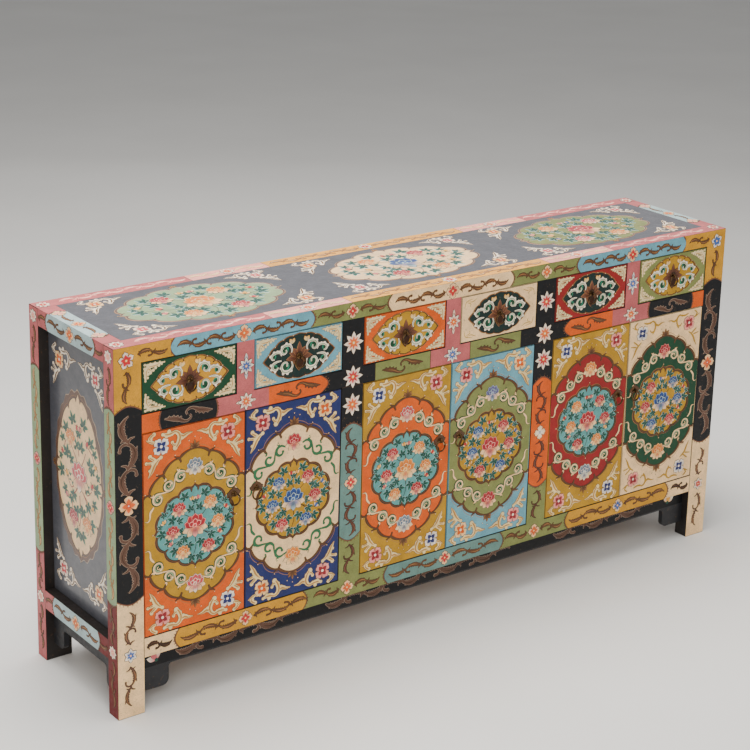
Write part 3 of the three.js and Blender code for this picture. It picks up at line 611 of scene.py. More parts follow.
def drawer_painting(half_wide, half_high, row):
    """A drawer front: filigree corners, a pointed lozenge, cloud scrolls and a lotus behind the pull."""
    brush = leaf_sheet(half_wide, half_high, row.ground)
    for across in (-1, 1):
        for up in (-1, 1):
            filigree(corner_brush(brush, across, up, half_wide, half_high), row.fine)
    cusps = [46j, 15+42.5j, 37+37.5j, 56+26j, 70+13j, 84]
    shape = four_fold(scallops(cusps, [0.02, 0.12, 0.14, 0.14, 0.04], 3))
    for size, tint in ((1.03, "umber"), (1.023, "tan"), (1.002, "umber"), (0.992, "bronze"), (0.977, "umber")):
        brush.fill(shape * size, tint)
    brush.fill(shape * 0.97, row.heart, lift=0)
    for cusp in cusps[1:-1]:
        for place in mirrored(cusp):
            brush.at(place * 0.97, heading(-place)).fill(petal(5, 3.4, 0.3, 2), "umber")
            pearls(brush, [place * 1.03], 1.1)
    for flip in (False, True):
        cloud(brush.at(0, 0, 1, flip))
    rim = "tan" if row.heart == "night" else "umber"
    for lean, long, wide in ((-42, 20, 9), (-6, 31, 12), (22, 25, 9), (50, 23, 9), (90, 29, 11)):
        for degrees in ((lean, 180 - lean) if lean < 90 else (lean,)):
            leaf(brush.at(-1j, degrees), long, wide, "russet", "copper", rim, "umber", 0.5)
    leaf(brush.at(-4j, 270), 27, 21, "umber", "russet", rim, full=0.42)
    brush.fill(ring(8, 12, 1j), "umber")
    return brush.marks


def filigree(brush, fine):
    """A lacy leaf triangle in a corner: lobed arms along both edges and short curled leaves between them. A fine
    one is three thin strokes."""
    if fine:
        for path in ([8+26j, 12+12j, 30+8j], [14+14j, 24+18j, 22+24j], [16+12j, 28+14j, 40+9j]):
            brush.stroke(smooth(path, 3), [0.8, 1.8, 0.8], "ochre")
        return
    strokes = [([7+36j, 8+22j, 9+10j], [3, 8, 10]), ([9+9j, 24+8j, 36+7j, 47+6j], [10, 9, 6, 2]),
               ([9+12j, 20+20j], [10, 5])]
    lumps = [(7+37j, 2.2), (12+31j, 2.6), (13+24j, 3.2), (6+29j, 2.4), (5+20j, 2.4), (18+22j, 3.4), (24+18j, 3.2),
             (29+14j, 3.2), (36+11j, 2.8), (42+9j, 2.2), (48+6j, 1.6), (18+4.4j, 2.2), (28+4j, 2.2), (38+4j, 1.8),
             (6+5j, 2.6), (5+12j, 2.2)]
    merged(brush, strokes, lumps, "lace", "shade", 1.0)
    for path in ([9+33j, 9+20j, 13+13j], [14+10j, 26+10j, 38+7j], [13+13j, 19+18j]):
        brush.stroke(smooth(path, 2), [0.8, 2.2, 0.8], "straw")


def cloud(brush):
    """Four rolling cloud curls to the right of the lotus, white with a green hollow, and a small bud."""
    curls = (
        ([19+8j, 18+18j, 25+26j, 37+25j, 43+16j, 38+9j, 31+11j, 32+17j], [2, 4, 5.5, 6, 5.5, 4.5, 3.4, 2.8], 9),
        ([42+6j, 46+13j, 56+15j, 65+10j, 64+3j, 58+1j], [2, 4, 5.5, 5.5, 4.5, 3], 6.5),
        ([19-8j, 16-19j, 24-28j, 37-27j, 42-17j, 37-9j, 29-10j, 29-18j], [2, 4, 6, 6.5, 5.5, 4.5, 3.4, 2.8], 10),
        ([42-4j, 52-4j, 62-8j, 63-17j, 55-21j, 49-16j], [2, 4, 5.5, 5.5, 4.5, 3], 6.5),
    )
    for path, _, size in curls:
        hollow = np.mean(path[2:])
        brush.fill(ring(size, 12, hollow), "jade", lift=LOW_RISE)
        brush.fill(ring(0.6 * size, 10, hollow), "bottle", lift=LOW_RISE)
    lumps = [(22+27j, 3), (31+29j, 3.2), (41+24j, 3.2), (48+16j, 2.6), (68+9j, 3), (60+16j, 2.8), (52+17j, 2.4),
             (19-28j, 3), (28-32j, 3.4), (38-31j, 3.2), (67-9j, 2.8), (66-18j, 2.8), (57-24j, 2.6), (44-19j, 2.6)]
    merged(brush, [(smooth(path, 3), widths) for path, widths, _ in curls], lumps, "white", "umber", 1.2, "sage")
    for lean in (60, 115):
        leaf(brush.at(17+27j, lean), 12, 7, "ivory", "amber", "shade", full=0.6)


# From the left. Flowers: those round the medallion, then its middle one; corners: top left and top right, the
# bottom ones the other way round. A slim door has thin green scrolls; a fine one has hairlines in its corners.
Door = namedtuple("Door", "ground ring heart flowers corners above below slim fine", defaults=(False, False))
DOORS = (
    Door("orange", "ochre", "turquoise", "red orange pink red", "blue red", "white", "pink"),
    Door("navy", "cream", "ochre", "blue red orange blue", "red orange", "red", "orange", slim=True),
    Door("ochre", "orange", "turquoise", "red orange pink orange", "blue red", "pink", "white"),
    Door("sky", "green", "ochre", "blue red orange red", "red orange", "lilac", "red"),
    Door("ochre", "red", "turquoise", "orange red pink red", "blue red", "orange", "white"),
    Door("cream", "bottle", "ochre", "red blue orange blue", "blue red", "red", "orange", fine=True),
)

Drawer = namedtuple("Drawer", "ground heart fine", defaults=(False,))
DRAWERS = (Drawer("bottle", "gold"), Drawer("sky", "night"), Drawer("orange", "ochre"),
           Drawer("cream", "night", fine=True), Drawer("red", "night"), Drawer("green", "ochre"))


def bands(brush, start, spans, low, high, upright=False):
    """Grounds along a rail or post, from low to high across it: (where it ends, tint, bulge at its start, bulge at
    its end). Plain ones come first, with a line at each end, so that rounded ends lie over their neighbours."""
    edges = [start] + [span[0] for span in spans[:-1]]
    rounded = [len(span) > 2 for span in spans] + [False]

    def place(along, across):
        return complex(across, along) if upright else complex(along, across)

    for k, (begin, (end, tint, *_)) in enumerate(zip(edges, spans)):
        if not rounded[k]:
            begin, end = begin - LAP * rounded[k - 1], end + LAP * rounded[k + 1]
            brush.ground(place(begin, low), place(end, high), tint)
            for at in (begin, end):
                brush.stroke([place(at, low), place(at, high)], [1, 1], "umber", 0.4, lift=0)
    middle, half = (low + high) / 2, 0.97 * (high - low) / 2
    for k, (begin, (end, tint, *bulges)) in enumerate(zip(edges, spans)):
        if not rounded[k]:
            continue
        first, last = bulges
        for out, edge in ((3.6, "ink"), (2.8, "copper"), (0.9, "ink")):
            box = place(begin - out * (first > 0), low), place(end + out * (last > 0), high)
            brush.fill(slab(*box, first, last, upright), edge, lift=LOW_RISE)
        for tip, bulge, way in ((begin, first, -1), (end, last, 1)):
            for turn in np.radians((-54, -32, -11, 11, 32, 54)) if bulge else ():
                along = tip + way * ((bulge + 4.4) * math.cos(turn) - bulge)
                pearls(brush, [place(along, middle + half * math.sin(turn))], 0.8, "tan")
        brush.fill(slab(place(begin, low), place(end, high), first, last, upright), tint, lift=LOW_RISE)


def framed(timbers, origin):
    """A brush at this place on a sheet of these timbers, each an oblong between two corners."""
    sheet = Brush()
    for low, high in timbers:
        sheet.ground(low, high, "umber", base=True)
    return sheet.at(origin)


def front_frame_painting(p):
    """The posts, rails and stiles of the front: coloured bands, vines and flowers, on one sheet with its openings.
    Places are mm across from the left edge and, with a minus, down from the top."""
    brush = framed(p["timbers"], complex(p["left"], p["top"]))
    inset = p["inset"]
    right, foot = p["right"] - p["left"] - inset, inset - p["top"]

    bands(brush, inset, [(122, "gold"), (448, "sky", 10, 10), (630, "green"), (960, "cream", 10, 10), (1142, "green"),
                         (1472, "sky", 10, 10), (right, "gold")], -35, -inset)
    for low, high in ((inset, 58), (1542, right)):
        brush.ground(complex(low, -134), complex(high, -inset), "gold")
        bands(brush, foot, [(-516, "cream"), (-118, "black", 12, 12)], low, high, True)
    for low, high in ((58, 122), (1472, 1542)):
        brush.ground(low - 35j, complex(high, -inset), "gold")
    for at in (288, 799, 1311):
        brush.ground(at - 20 - 139j, at + 20 - 35j, "rose")
    bands(brush, 58, [(98, "orange"), (223, "black", 4, 4), (342, "rose"), (482, "orange", 0, 18), (600, "black"),
                      (742, "green"), (848, "rose"), (988, "green"), (1114, "black"), (1256, "orange", 18, 0),
                      (1368, "rose"), (1505, "black", 4, 4), (1542, "orange")], -176, -139)
    for at in (517.5, 1030):
        brush.ground(at - 176j, at + 52.5 - 35j, "black")
    for at, tint in ((518, "teal"), (1030, "orange")):
        bands(brush, -600, [(-512, "green"), (-258, tint, 14, 14), (-176, "black")], at, at + 52, True)
    bands(brush, 58, [(128, "cream"), (438, "gold", 10, 10), (637, "green"), (962, "teal", 10, 10), (1147, "green"),
                      (1468, "gold", 10, 10), (1542, "cream")], -638, -598)

    # The top rail, its corners and the six flowers round the short stiles.
    for at, heart, size, reach, height in (
            (540, "crimson", 15, 84, 15), (1053, "coral", 15, (82, 84), 15), (284, "coral", 17, (150, 148), 17),
            (795, "crimson", 17, (150, 148), 17), (1306, "crimson", 17, (150, 148), 17)):
        rosette(brush, at - 18j, size, heart)
        twin_vines(brush, at - 18j, reach, height)
    for at, heart, way in ((27, "crimson", 0), (1572, "blue", 180)):
        star(brush.at(at - 26j), 5, 17, 15, "white", heart, turn=100)
        vine(brush.at(at - 48j, -90), 62, 17)
        vine(brush.at(at - 18j, way).at(24), 64, 15)
    for at, upper, lower in ((289, "blue", "coral"), (800, "coral", "blue"), (1312, "blue", "coral")):
        for place, heart, lean, long in ((at - 86j, upper, 90, 27), (at - 157.5j, lower, 0, 23)):
            for degrees in (lean, lean + 180):
                leaf(brush.at(place, degrees), long, 8, heart, "white", full=0.6)
            star(brush.at(place), 8, 18, 7.4, "white", heart)

    # The crossings of the bay stiles with the middle rail, that rail's leaves, and the stiles beside the doors.
    for at, hearts in ((544, "coral crimson coral"), (1056, "crimson coral crimson")):
        for down, heart in zip((85j, 157j, 216j), hearts.split()):
            star(brush.at(at - down), 8, 24, 9.6, "white", heart)
    for at, tints in ((160, DUSK), (412, RAIL), (670, RAIL), (920, RAIL), (1185, RAIL), (1437, DUSK)):
        twin_leaf(brush.at(at - 157.5j), 53, 27, *tints)
    for at, heart, eye in ((544, "crimson", "amber"), (1056, "white", "blue")):
        rosette(brush, at - 385j, 16, heart, eye=eye)
        twin_vines(brush, at - 385j, 118, 31, True, tints=STILE, unit=1.0, fat=0.22)
        vine(brush.at(at - 522j, -90), 66, 29, STILE, 1.0, 0.22)

    # The corner posts and the bottom rail.
    for place, last, heart in ((28-314j, 28, "blue"), (1571-320j, 1571, "crimson")):
        star(brush.at(place), 4, 21, 18, "cream", "coral", "crimson", 0)
        twin_vines(brush, place, 178, 40, True, gap=20, tints=DUSK, unit=1.3, fat=0.32)
        star(brush.at(last - 625j), 6, 15, 9, "white", heart)
        for down, way, long in ((602j, 90, 68), (648j, -90, 84)):
            vine(brush.at(last - down, way), long, 26, ("clay", "umber", "tan"), 1.4, 0.26)
    for at, heart, reach in ((290, "crimson", 150), (540, "coral", 84), (799, "crimson", 150), (1053, "coral", 84),
                             (1308, "blue", 150)):
        rosette(brush, at - 618j, 16, heart)
        twin_vines(brush, at - 618j, reach, 18)
    for at, way in ((64, 0), (1536, 180)):
        vine(brush.at(at - 618j, way), 56, 17, ("umber", "ink", "bronze"))
    return brush.marks


def side_frame_painting(p):
    """Posts and rails of one end: rose and sage posts, pale blue rail middles, vines and flowers. +across runs from
    the post that the sheet starts with to the other; front_last says which of them is the front post, whose foot
    and rail ends are deep red. Heights are given down from the top, with a minus."""
    wide, inset, post, front_last = p["wide"], p["inset"], p["post"], p["front_last"]
    brush = framed(p["timbers"], 1j * p["top"])
    for low, high, front in ((inset, post, not front_last), (wide - post, wide - inset, front_last)):
        foot = "garnet" if front else "rose"
        bands(brush, inset - p["top"], [(-517, foot), (-121, "sage", 6, 6), (-inset, "rose")], low, high, True)
        middle = (low + high) / 2
        star(brush.at(middle - 317j), 4, 14, 13, "blush", "crimson", "amber", 0)
        twin_vines(brush, middle - 317j, 190, 15, True, tints=("tan", "shade", "cream"))
        for down in (19j, 618j):
            star(brush.at(middle - down), 8, 14, 8, "white", "blush")
        for down, way, long in ((38j, -90, 76), (602j, 90, 80), (636j, -90, 100)):
            vine(brush.at(middle - down, way), long, 15)
    for low, high, deep in ((-35, -inset, "rose"), (-638, -598, "garnet")):
        first, last = ("rose", deep) if front_last else (deep, "rose")
        bands(brush, post, [(70, first), (wide - 70, "mist", 8, 8), (wide - post, last)], low, high)
        middle = complex(wide, low + high) / 2
        rosette(brush, middle, 16, "coral")
        twin_vines(brush, middle, 90, 16)
        for begin, way in ((post + 2, 0), (wide - post - 2, 180)):
            vine(brush.at(complex(begin, middle.imag), way), 32, 15)
    return brush.marks


def side_panel_painting(wide, high, aside):
    """An end panel: a tall cream medallion of flowers on charcoal, a wavy grey-brown edge and four corner sprays,
    all set a little aside, to the back of the cabinet."""
    sheet = Brush()
    corner = complex(wide, high) / 2
    sheet.ground(-corner, corner, "charcoal", base=True)
    brush = sheet.at(aside)
    waves = np.exp(1j * np.linspace(0, 2 * np.pi, 121)[:-1])
    body = 1 + 0.018 * np.cos(24 * np.angle(waves))
    brush.fill(scaled(waves, 97, 177) * body, "putty")
    brush.fill(scaled(waves, 95.6, 175) * body, "clay")
    medallion(brush, 93, 174, "cream", "clay", "umber", 0.12)
    bouquet(brush, 82, 154, "orange red pink pink".split(), "sage", 3, ("maroon", 1.5))
    for across in (-1, 1):
        crest(brush.at(across * 98, -90 * across), 11)
    four_sprays(brush, wide / 2 - 19, high / 2 - 28)
    return sheet.marks


def top_frame_painting(p):
    """The four rails of the top: rose, pink and amber lengths along the sides, pale blue between flowers at the
    ends."""
    wide, deep, rail, inset = p["wide"], p["deep"], p["rail"], p["inset"]
    brush = framed(p["timbers"], 0)
    for low, high in ((inset, rail), (deep - rail, deep - inset)):
        bands(brush, inset, [(350, "rose"), (540, "blush"), (1062, "amber"), (1250, "blush"), (wide - inset, "rose")],
              low, high)
        level = 1j * (low + high) / 2
        for at, heart, reach, tints in ((445, "coral", 90, ("cream", "rose", "cream")),
                                        (801, "crimson", 250, ("tan", "bronze", "cream")),
                                        (1156, "coral", 90, ("cream", "rose", "cream"))):
            star(brush.at(at + level), 8, 17, 9, "white", heart)
            twin_vines(brush, at + level, reach, 17, tints=tints)
        for begin, way in ((56, 0), (wide - 56, 180)):
            vine(brush.at(begin + level, way), 288, 18, ("blush", "rose", "white"))
    for low, high in ((inset, rail), (wide - rail, wide - inset)):
        bands(brush, rail, [(78, "rose"), (deep - 78, "mist", 8, 8), (deep - rail, "rose")], low, high, True)
        middle = (low + high) / 2
        for at, heart in ((deep / 2, "coral"), (88, "blush"), (deep - 88, "blush")):
            rosette(brush, complex(middle, at), 15, heart)
        twin_vines(brush, complex(middle, deep / 2), 64, 15, True)
        for at in (22, deep - 22):
            star(brush.at(complex(middle, at)), 8, 15, 8, "white", "crimson")
    return brush.marks


def top_panel_painting(wide, deep):
    """The top panel: three wide medallions of flowers on charcoal, each with four corner sprays."""
    brush = Brush()
    corner = complex(wide, deep) / 2
    brush.ground(-corner, corner, "charcoal", base=True)
    for at, ground, hues in ((-508, "sage", "red orange pink orange"), (-1, "cream", "orange red pink blue"),
                             (508, "green", "orange pink blue red")):
        place = brush.at(at)
        medallion(place, 182, 109, ground, "clay", "putty")
        bouquet(place, 166, 98, hues.split(), flowers=4)
        for up in (1, -1):
            crest(place.at(107j * up, 90 - 90 * up), 12, "tan")
        four_sprays(place, 226, 124)
    return brush.marks


def apron_painting(low, high):
    """The strip of the front apron under the rail: grey-gold vines and a bud near each leg, on black."""
    brush = Brush()
    brush.ground(low, high, "black", base=True)
    level = 1j * (high.imag - 14)
    for at, reach in ((-515, 145), (-50, 250), (485, 155)):
        twin_vines(brush, at + level, reach, 25, gap=2, tints=DUSK)
    for at, hue, lean in ((-705, "pink", 30), (690, "orange", -12)):
        bud(brush.at(at - 8j + level, lean), 23, hue, "white")
    return brush.marks


def node(tree, kind, settings=None, inputs=None):
    """Adds a node, sets its properties, and fills its sockets by name or number with values, colours of three
    parts or other outputs."""
    made = tree.nodes.new(kind)
    for key, value in (settings or {}).items():
        setattr(made, key, value)
    for key, value in (inputs or {}).items():
        if isinstance(value, bpy.types.NodeSocket):
            tree.links.new(value, made.inputs[key])
        elif made.inputs[key].type == "RGBA":
            made.inputs[key].default_value = (*value, 1)
        else:
            made.inputs[key].default_value = value
    return made


def shaded(name, **constants):
    """A material with a principled shader whose sockets hold these constants, its tree, that shader and the Object
    coordinates."""
    material = bpy.data.materials.new(name)
    material.use_nodes = True
    tree = material.node_tree
    tree.nodes.clear()
    shader = node(tree, "ShaderNodeBsdfPrincipled", None, {k.replace("_", " "): v for k, v in constants.items()})
    node(tree, "ShaderNodeOutputMaterial", None, {"Surface": shader.outputs[0]})
    return material, tree, shader, node(tree, "ShaderNodeTexCoord").outputs["Object"]


def pattern(tree, place, size_mm, spread=None, detail=3.0, stretch=None):
    """Noise whose patches are about this many mm across, longer along an axis whose stretch is under 1. Spread is
    the run of it that counts, low and high, and then the two values which that run is spread between."""
    if stretch:
        place = node(tree, "ShaderNodeMapping", None, {"Vector": place, "Scale": stretch}).outputs[0]
    inputs = {"Vector": place, "Scale": 1 / MM / size_mm, "Detail": detail}
    grain = node(tree, "ShaderNodeTexNoise", None, inputs).outputs[0]
    if spread is None:
        return grain
    return node(tree, "ShaderNodeMapRange", None, dict(enumerate((grain, *spread)))).outputs[0]


def finish(tree, shader, colour, roughness, relief, depth_mm, strength):
    """Links a shader's colour and roughness, and a bump this many mm deep at this strength."""
    bump = node(tree, "ShaderNodeBump", None, {"Height": relief, "Distance": depth_mm * MM, "Strength": strength})
    for name, output in (("Base Color", colour), ("Roughness", roughness), ("Normal", bump.outputs[0])):
        tree.links.new(output, shader.inputs[name])


def mineral_paint(name, varnish):
    """Mineral colours brushed on gesso under an oil varnish: each mark keeps its own colour, mottled over 25 mm,
    streaked by 2 mm brush hairs and sanded through here and there. The varnish, thin on the front and built up on
    the top and ends, gives a soft sheen that turns to haze at a low angle."""
    material, tree, shader, place = shaded(name, Coat_Weight=varnish, Coat_Roughness=0.22, Specular_IOR_Level=0.18)
    paint = node(tree, "ShaderNodeAttribute", {"attribute_name": "paint"}).outputs["Color"]
    patches = pattern(tree, place, 26, (0.3, 0.7, 0.84, 1.1))
    hairs = pattern(tree, place, 2.2, (0.3, 0.7, 0.86, 1.1), 4.0)
    tone = node(tree, "ShaderNodeMath", {"operation": "MULTIPLY"}, {0: patches, 1: hairs}).outputs[0]
    grey = node(tree, "ShaderNodeCombineColor", None, {0: tone, 1: tone, 2: tone}).outputs[0]
    toned = node(tree, "ShaderNodeMix", {**MIXED, "blend_type": "MULTIPLY"}, {0: 1.0, 6: paint, 7: grey}).outputs[2]
    worn = pattern(tree, place, 5.5, (0.64, 0.72, 0.0, 0.35), 6.0)
    sanded = node(tree, "ShaderNodeMix", MIXED, {0: worn, 6: toned, 7: linear("#6b5138")}).outputs[2]
    sheen = pattern(tree, place, 9, (0.3, 0.7, 0.42, 0.62))
    finish(tree, shader, sanded, sheen, pattern(tree, place, 1.6), 0.25, 0.5)
    return material


def brushed_paint(name, hex_value, inside=None):
    """One coat of oil-bound paint brushed on wood: soft cloudy tone over 40 mm, brush streaks, thin worn spots
    that show the wood, a dull sheen. With an inside colour, faces that look to the back have that wood stain."""
    material, tree, shader, place = shaded(name, Specular_IOR_Level=0.4)
    base = linear(hex_value)
    clouds = pattern(tree, place, 40, (0.3, 0.7, 0.0, 1.0))
    cloudy = node(tree, "ShaderNodeMix", MIXED, {0: clouds, 6: base * 0.72, 7: np.minimum(base * 1.25, 1)}).outputs[2]
    worn = pattern(tree, place, 7, (0.62, 0.7, 0.0, 0.5), 6.0)
    colour = node(tree, "ShaderNodeMix", MIXED, {0: worn, 6: cloudy, 7: linear("#5a4028")}).outputs[2]
    if inside:
        stain = linear(inside)
        grain = pattern(tree, place, 4, (0.35, 0.65, 0.0, 1.0), 4.0, (1, 1, 0.06))
        wood = node(tree, "ShaderNodeMix", MIXED, {0: grain, 6: stain * 0.7, 7: stain * 1.15}).outputs[2]
        normal = node(tree, "ShaderNodeTexCoord").outputs["Normal"]
        facing = node(tree, "ShaderNodeSeparateXYZ", None, {0: normal}).outputs[1]
        behind = node(tree, "ShaderNodeMapRange", None, {0: facing, 1: 0.6, 2: 0.8, 3: 0.0, 4: 1.0}).outputs[0]
        colour = node(tree, "ShaderNodeMix", MIXED, {0: behind, 6: colour, 7: wood}).outputs[2]
    sheen = pattern(tree, place, 12, (0.3, 0.7, 0.4, 0.6))
    finish(tree, shader, colour, sheen, pattern(tree, place, 1.8), 0.25, 0.5)
    return material


def sawn_pine(name, axis):
    """Planed softwood left bare: growth lines 3 to 6 mm apart drawn out along the board, pale between darker
    lines, a few pores and a dry matt surface."""
    material, tree, shader, place = shaded(name, Specular_IOR_Level=0.35)
    along = np.where(np.arange(3) == axis, 0.045, 1.0)
    lines = pattern(tree, place, 9, None, 5.0, tuple(along))
    fibre = pattern(tree, place, 1.2, None, 2.0, tuple(0.6 * along))
    growth, dry, pores = (node(tree, "ShaderNodeMapRange", None, dict(enumerate(run))).outputs[0] for run in (
        (lines, 0.35, 0.65, 0.0, 1.0), (lines, 0.3, 0.7, 0.55, 0.72), (fibre, 0.3, 0.7, 0.0, 0.35)))
    wood = node(tree, "ShaderNodeMix", MIXED, {0: growth, 6: linear("#8a5f38"), 7: linear("#c29a68")}).outputs[2]
    toned = node(tree, "ShaderNodeMix", MIXED, {0: pores, 6: wood, 7: linear("#6e4a2b")}).outputs[2]
    finish(tree, shader, toned, dry, fibre, 0.2, 0.5)
    return material


def aged_bronze(name):
    """Cast and turned bronze, darkened by handling: brown oxide in the hollows, warmer metal where fingers rub."""
    material, tree, shader, place = shaded(name, Metallic=1.0)
    patina = pattern(tree, place, 9, (0.3, 0.7, 0.0, 1.0))
    colour = node(tree, "ShaderNodeMix", MIXED, {0: patina, 6: linear("#2a1f18"), 7: linear("#75593b")}).outputs[2]
    gloss = node(tree, "ShaderNodeMapRange", None, {0: patina, 1: 0.0, 2: 1.0, 3: 0.42, 4: 0.24}).outputs[0]
    finish(tree, shader, colour, gloss, pattern(tree, place, 2.5, None, 2.0), 0.1, 0.25)
    return material


def made_once(name, maker, *details):
    """The material of this name, made by its maker the first time it is asked for."""
    return bpy.data.materials.get(name) or maker(name, *details)


def mesh_object(name, points, triangles, uv=None, colours=None, smooth_faces=False):
    """A mesh object at the origin from whole arrays: points in metres, triangles, and for each corner a place on
    its own map and a linear colour."""
    mesh = bpy.data.meshes.new(name)
    mesh.vertices.add(len(points))
    mesh.vertices.foreach_set("co", np.ascontiguousarray(points, np.float32).ravel())
    mesh.loops.add(triangles.size)
    mesh.loops.foreach_set("vertex_index", np.ascontiguousarray(triangles, np.int32).ravel())
    mesh.polygons.add(len(triangles))
    mesh.polygons.foreach_set("loop_start", np.arange(0, triangles.size, 3, dtype=np.int32))
    mesh.polygons.foreach_set("use_smooth", np.full(len(triangles), smooth_faces))
    mesh.update(calc_edges=True)
    if uv is not None:
        layer = mesh.uv_layers.new(name="OFBake")
        layer.data.foreach_set("uv", np.ascontiguousarray(uv, np.float32).ravel())
    if colours is not None:
        rgba = np.ones((triangles.size, 4), np.float32)
        rgba[:, :3] = colours.reshape(-1, 3)
        mesh.color_attributes.new("paint", "FLOAT_COLOR", "CORNER").data.foreach_set("color", rgba.ravel())
    mesh.validate()
    made = bpy.data.objects.new(name, mesh)
    bpy.context.scene.collection.objects.link(made)
    return made


def overlaid(marks):
    """Cuts every mark along the others' outlines. Gives the flat points, the triangles on the timber and, for
    each triangle, the number of the topmost mark over it."""
    ends = np.cumsum([len(mark.points) for mark in marks])
    starts = np.append(0, ends[:-1])
    points = np.concatenate([mark.points for mark in marks])
    loops = [list(range(a, b)) for a, b in zip(starts, ends)]
    flat, _, faces, _, _, sources = delaunay_2d_cdt(vectors(points), [], loops, INSIDES, SNAP)
    bases = {k for k, mark in enumerate(marks) if mark.base}
    kept = [(face, max(over)) for face, over in zip(faces, sources) if len(face) == 3 and not bases.isdisjoint(over)]
    used, triangles = np.unique(np.array([face for face, _ in kept]), return_inverse=True)
    return as_complex(flat)[used], triangles.reshape(-1, 3), np.array([mark for _, mark in kept])


def shades_on(marks, top, corners):
    """The colour at each triangle's corners: its topmost mark's tint, faded to the tip tint along or around its
    start."""
    inks = bpy.context.scene.cabinet_inks
    shades = np.array([[getattr(inks, mark.tint)[:], getattr(inks, mark.tip)[:]] for mark in marks])
    start, axis, reach = (np.array([getattr(mark, part) for mark in marks])[top][:, None]
                          for part in ("start", "axis", "reach"))
    offset = corners - start
    fade = np.clip(np.where(reach > 0, abs(offset) * reach, (offset * np.conj(axis)).real), 0, 1)[..., None]
    return shades[top, None, 0] * (1 - fade) + shades[top, None, 1] * fade


def back_of(flat, rim_points, rim_edges, marks):
    """Triangles over the rim's points that close the skin at the back, where there is timber."""
    spots, _, faces, sources, _, _ = delaunay_2d_cdt(vectors(flat[rim_points]), rim_edges.tolist(), [], INSIDES, 1e-6)
    faces = np.array(faces)
    middles = as_complex(spots)[faces].mean(axis=1)
    boxes = [(mark.points.real.min(), mark.points.real.max(), mark.points.imag.min(), mark.points.imag.max())
             for mark in marks if mark.base]
    on_timber = np.any([(a < middles.real) & (middles.real < b) & (c < middles.imag) & (middles.imag < d)
                        for a, b, c, d in boxes], axis=0)
    return np.array([source[0] for source in sources])[faces[on_timber]][:, ::-1]


def painted_skin(name, marks, origin, across, up, body, varnish=WAXED):
    """A closed skin a quarter of a millimetre proud of a face. A flat point goes to origin + across x + up y +
    out h, where h is the least lift of the marks that meet there, so every raised mark slopes down in its rim."""
    settings = bpy.context.scene.cabinet_paint
    flat, triangles, top = overlaid(marks)
    count = len(flat)
    height = np.full(count, 2 * HIGH_RISE)
    np.minimum.at(height, triangles.ravel(), np.repeat(np.array([mark.lift for mark in marks])[top], 3))
    colours = shades_on(marks, top, flat[triangles])

    # The rim is every edge that only one triangle has. Walls go down from it to the back.
    forward = np.concatenate([triangles[:, [0, 1]], triangles[:, [1, 2]], triangles[:, [2, 0]]])
    lone = ~np.isin(forward[:, 0] * count + forward[:, 1], forward[:, 1] * count + forward[:, 0])
    rim, rim_owner = forward[lone], np.tile(np.arange(len(triangles)), 3)[lone]
    rim_points, rim_edges = np.unique(rim, return_inverse=True)
    rim_edges = rim_edges.reshape(-1, 2)
    back = count + back_of(flat, rim_points, rim_edges, marks)
    first, second = (count + rim_edges).T
    lower, upper = np.column_stack([first, second, rim[:, 1]]), np.column_stack([first, rim[:, 1], rim[:, 0]])
    walls = np.concatenate([lower, upper])
    all_flat = np.concatenate([flat, flat[rim_points]])
    lifted = np.append(settings.gap + settings.relief * height, np.full(len(rim_points), BACK_PART * settings.gap))
    across, up = Vector(across), Vector(up)
    points = (np.array(origin) + MM * np.outer(all_flat.real, across) + MM * np.outer(all_flat.imag, up)
              + np.outer(lifted, across.cross(up)))
    wall_colours = np.concatenate([colours[rim_owner].mean(axis=1)] * 2)[:, None] * np.ones((1, 3, 1))
    colours = np.concatenate([colours, wall_colours, np.full((len(back), 3, 3), BACK_GREY)])

    # The map: the face as it lies, a narrow strip round it for the walls, and the back, smaller, beside or over it.
    wide, high = np.ptp(flat.real), np.ptp(flat.imag)
    span = max(wide, high) * 1.03
    spread = (all_flat - complex(flat.real.min(), flat.imag.min())) / span + 0.005+0.005j
    outward = -1j * (flat[rim[:, 1]] - flat[rim[:, 0]])
    step = np.zeros(len(rim_points), complex)
    np.add.at(step, rim_edges.ravel(), np.repeat(outward / np.maximum(abs(outward), TINY), 2))
    spread[count:] += step * 0.0012
    aside = 0.3 * spread + (1j * (high / span + 0.02) if wide > high else wide / span + 0.02)
    places = np.concatenate([spread[triangles], spread[walls], aside[back]])
    skin = mesh_object(name, points, np.concatenate([triangles, walls, back]),
                       np.stack([places.real, places.imag], -1), colours)
    title = "varnished_mineral_paint" if varnish == VARNISHED else "waxed_mineral_paint"
    skin.data.materials.append(made_once(title, mineral_paint, varnish))
    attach(skin, body)
    return skin


def lofted(rows, closed=False):
    """Triangles over rows of points, each row a loop of as many points: sides between the rows, and either the
    last row joined to the first or a fan over each end. Gives the points and the triangles."""
    rows = np.asarray(rows, float)
    count, around = rows.shape[:2]
    index = np.arange(count * around).reshape(count, around)
    if closed:
        index = np.concatenate([index, index[:1]])
    a, b, c, d = index[:-1], np.roll(index, -1, 1)[:-1], np.roll(index, -1, 1)[1:], index[1:]
    triangles = [np.stack([a, b, c], -1).reshape(-1, 3), np.stack([a, c, d], -1).reshape(-1, 3)]
    points = rows.reshape(-1, 3)
    if not closed:
        first, last = count * around, count * around + 1
        triangles.append(np.stack([np.full(around, first), np.roll(index[0], -1), index[0]], -1))
        triangles.append(np.stack([np.full(around, last), index[-1], np.roll(index[-1], -1)], -1))
        points = np.concatenate([points, rows[:1].mean(1), rows[-1:].mean(1)])
    return points, np.concatenate(triangles)


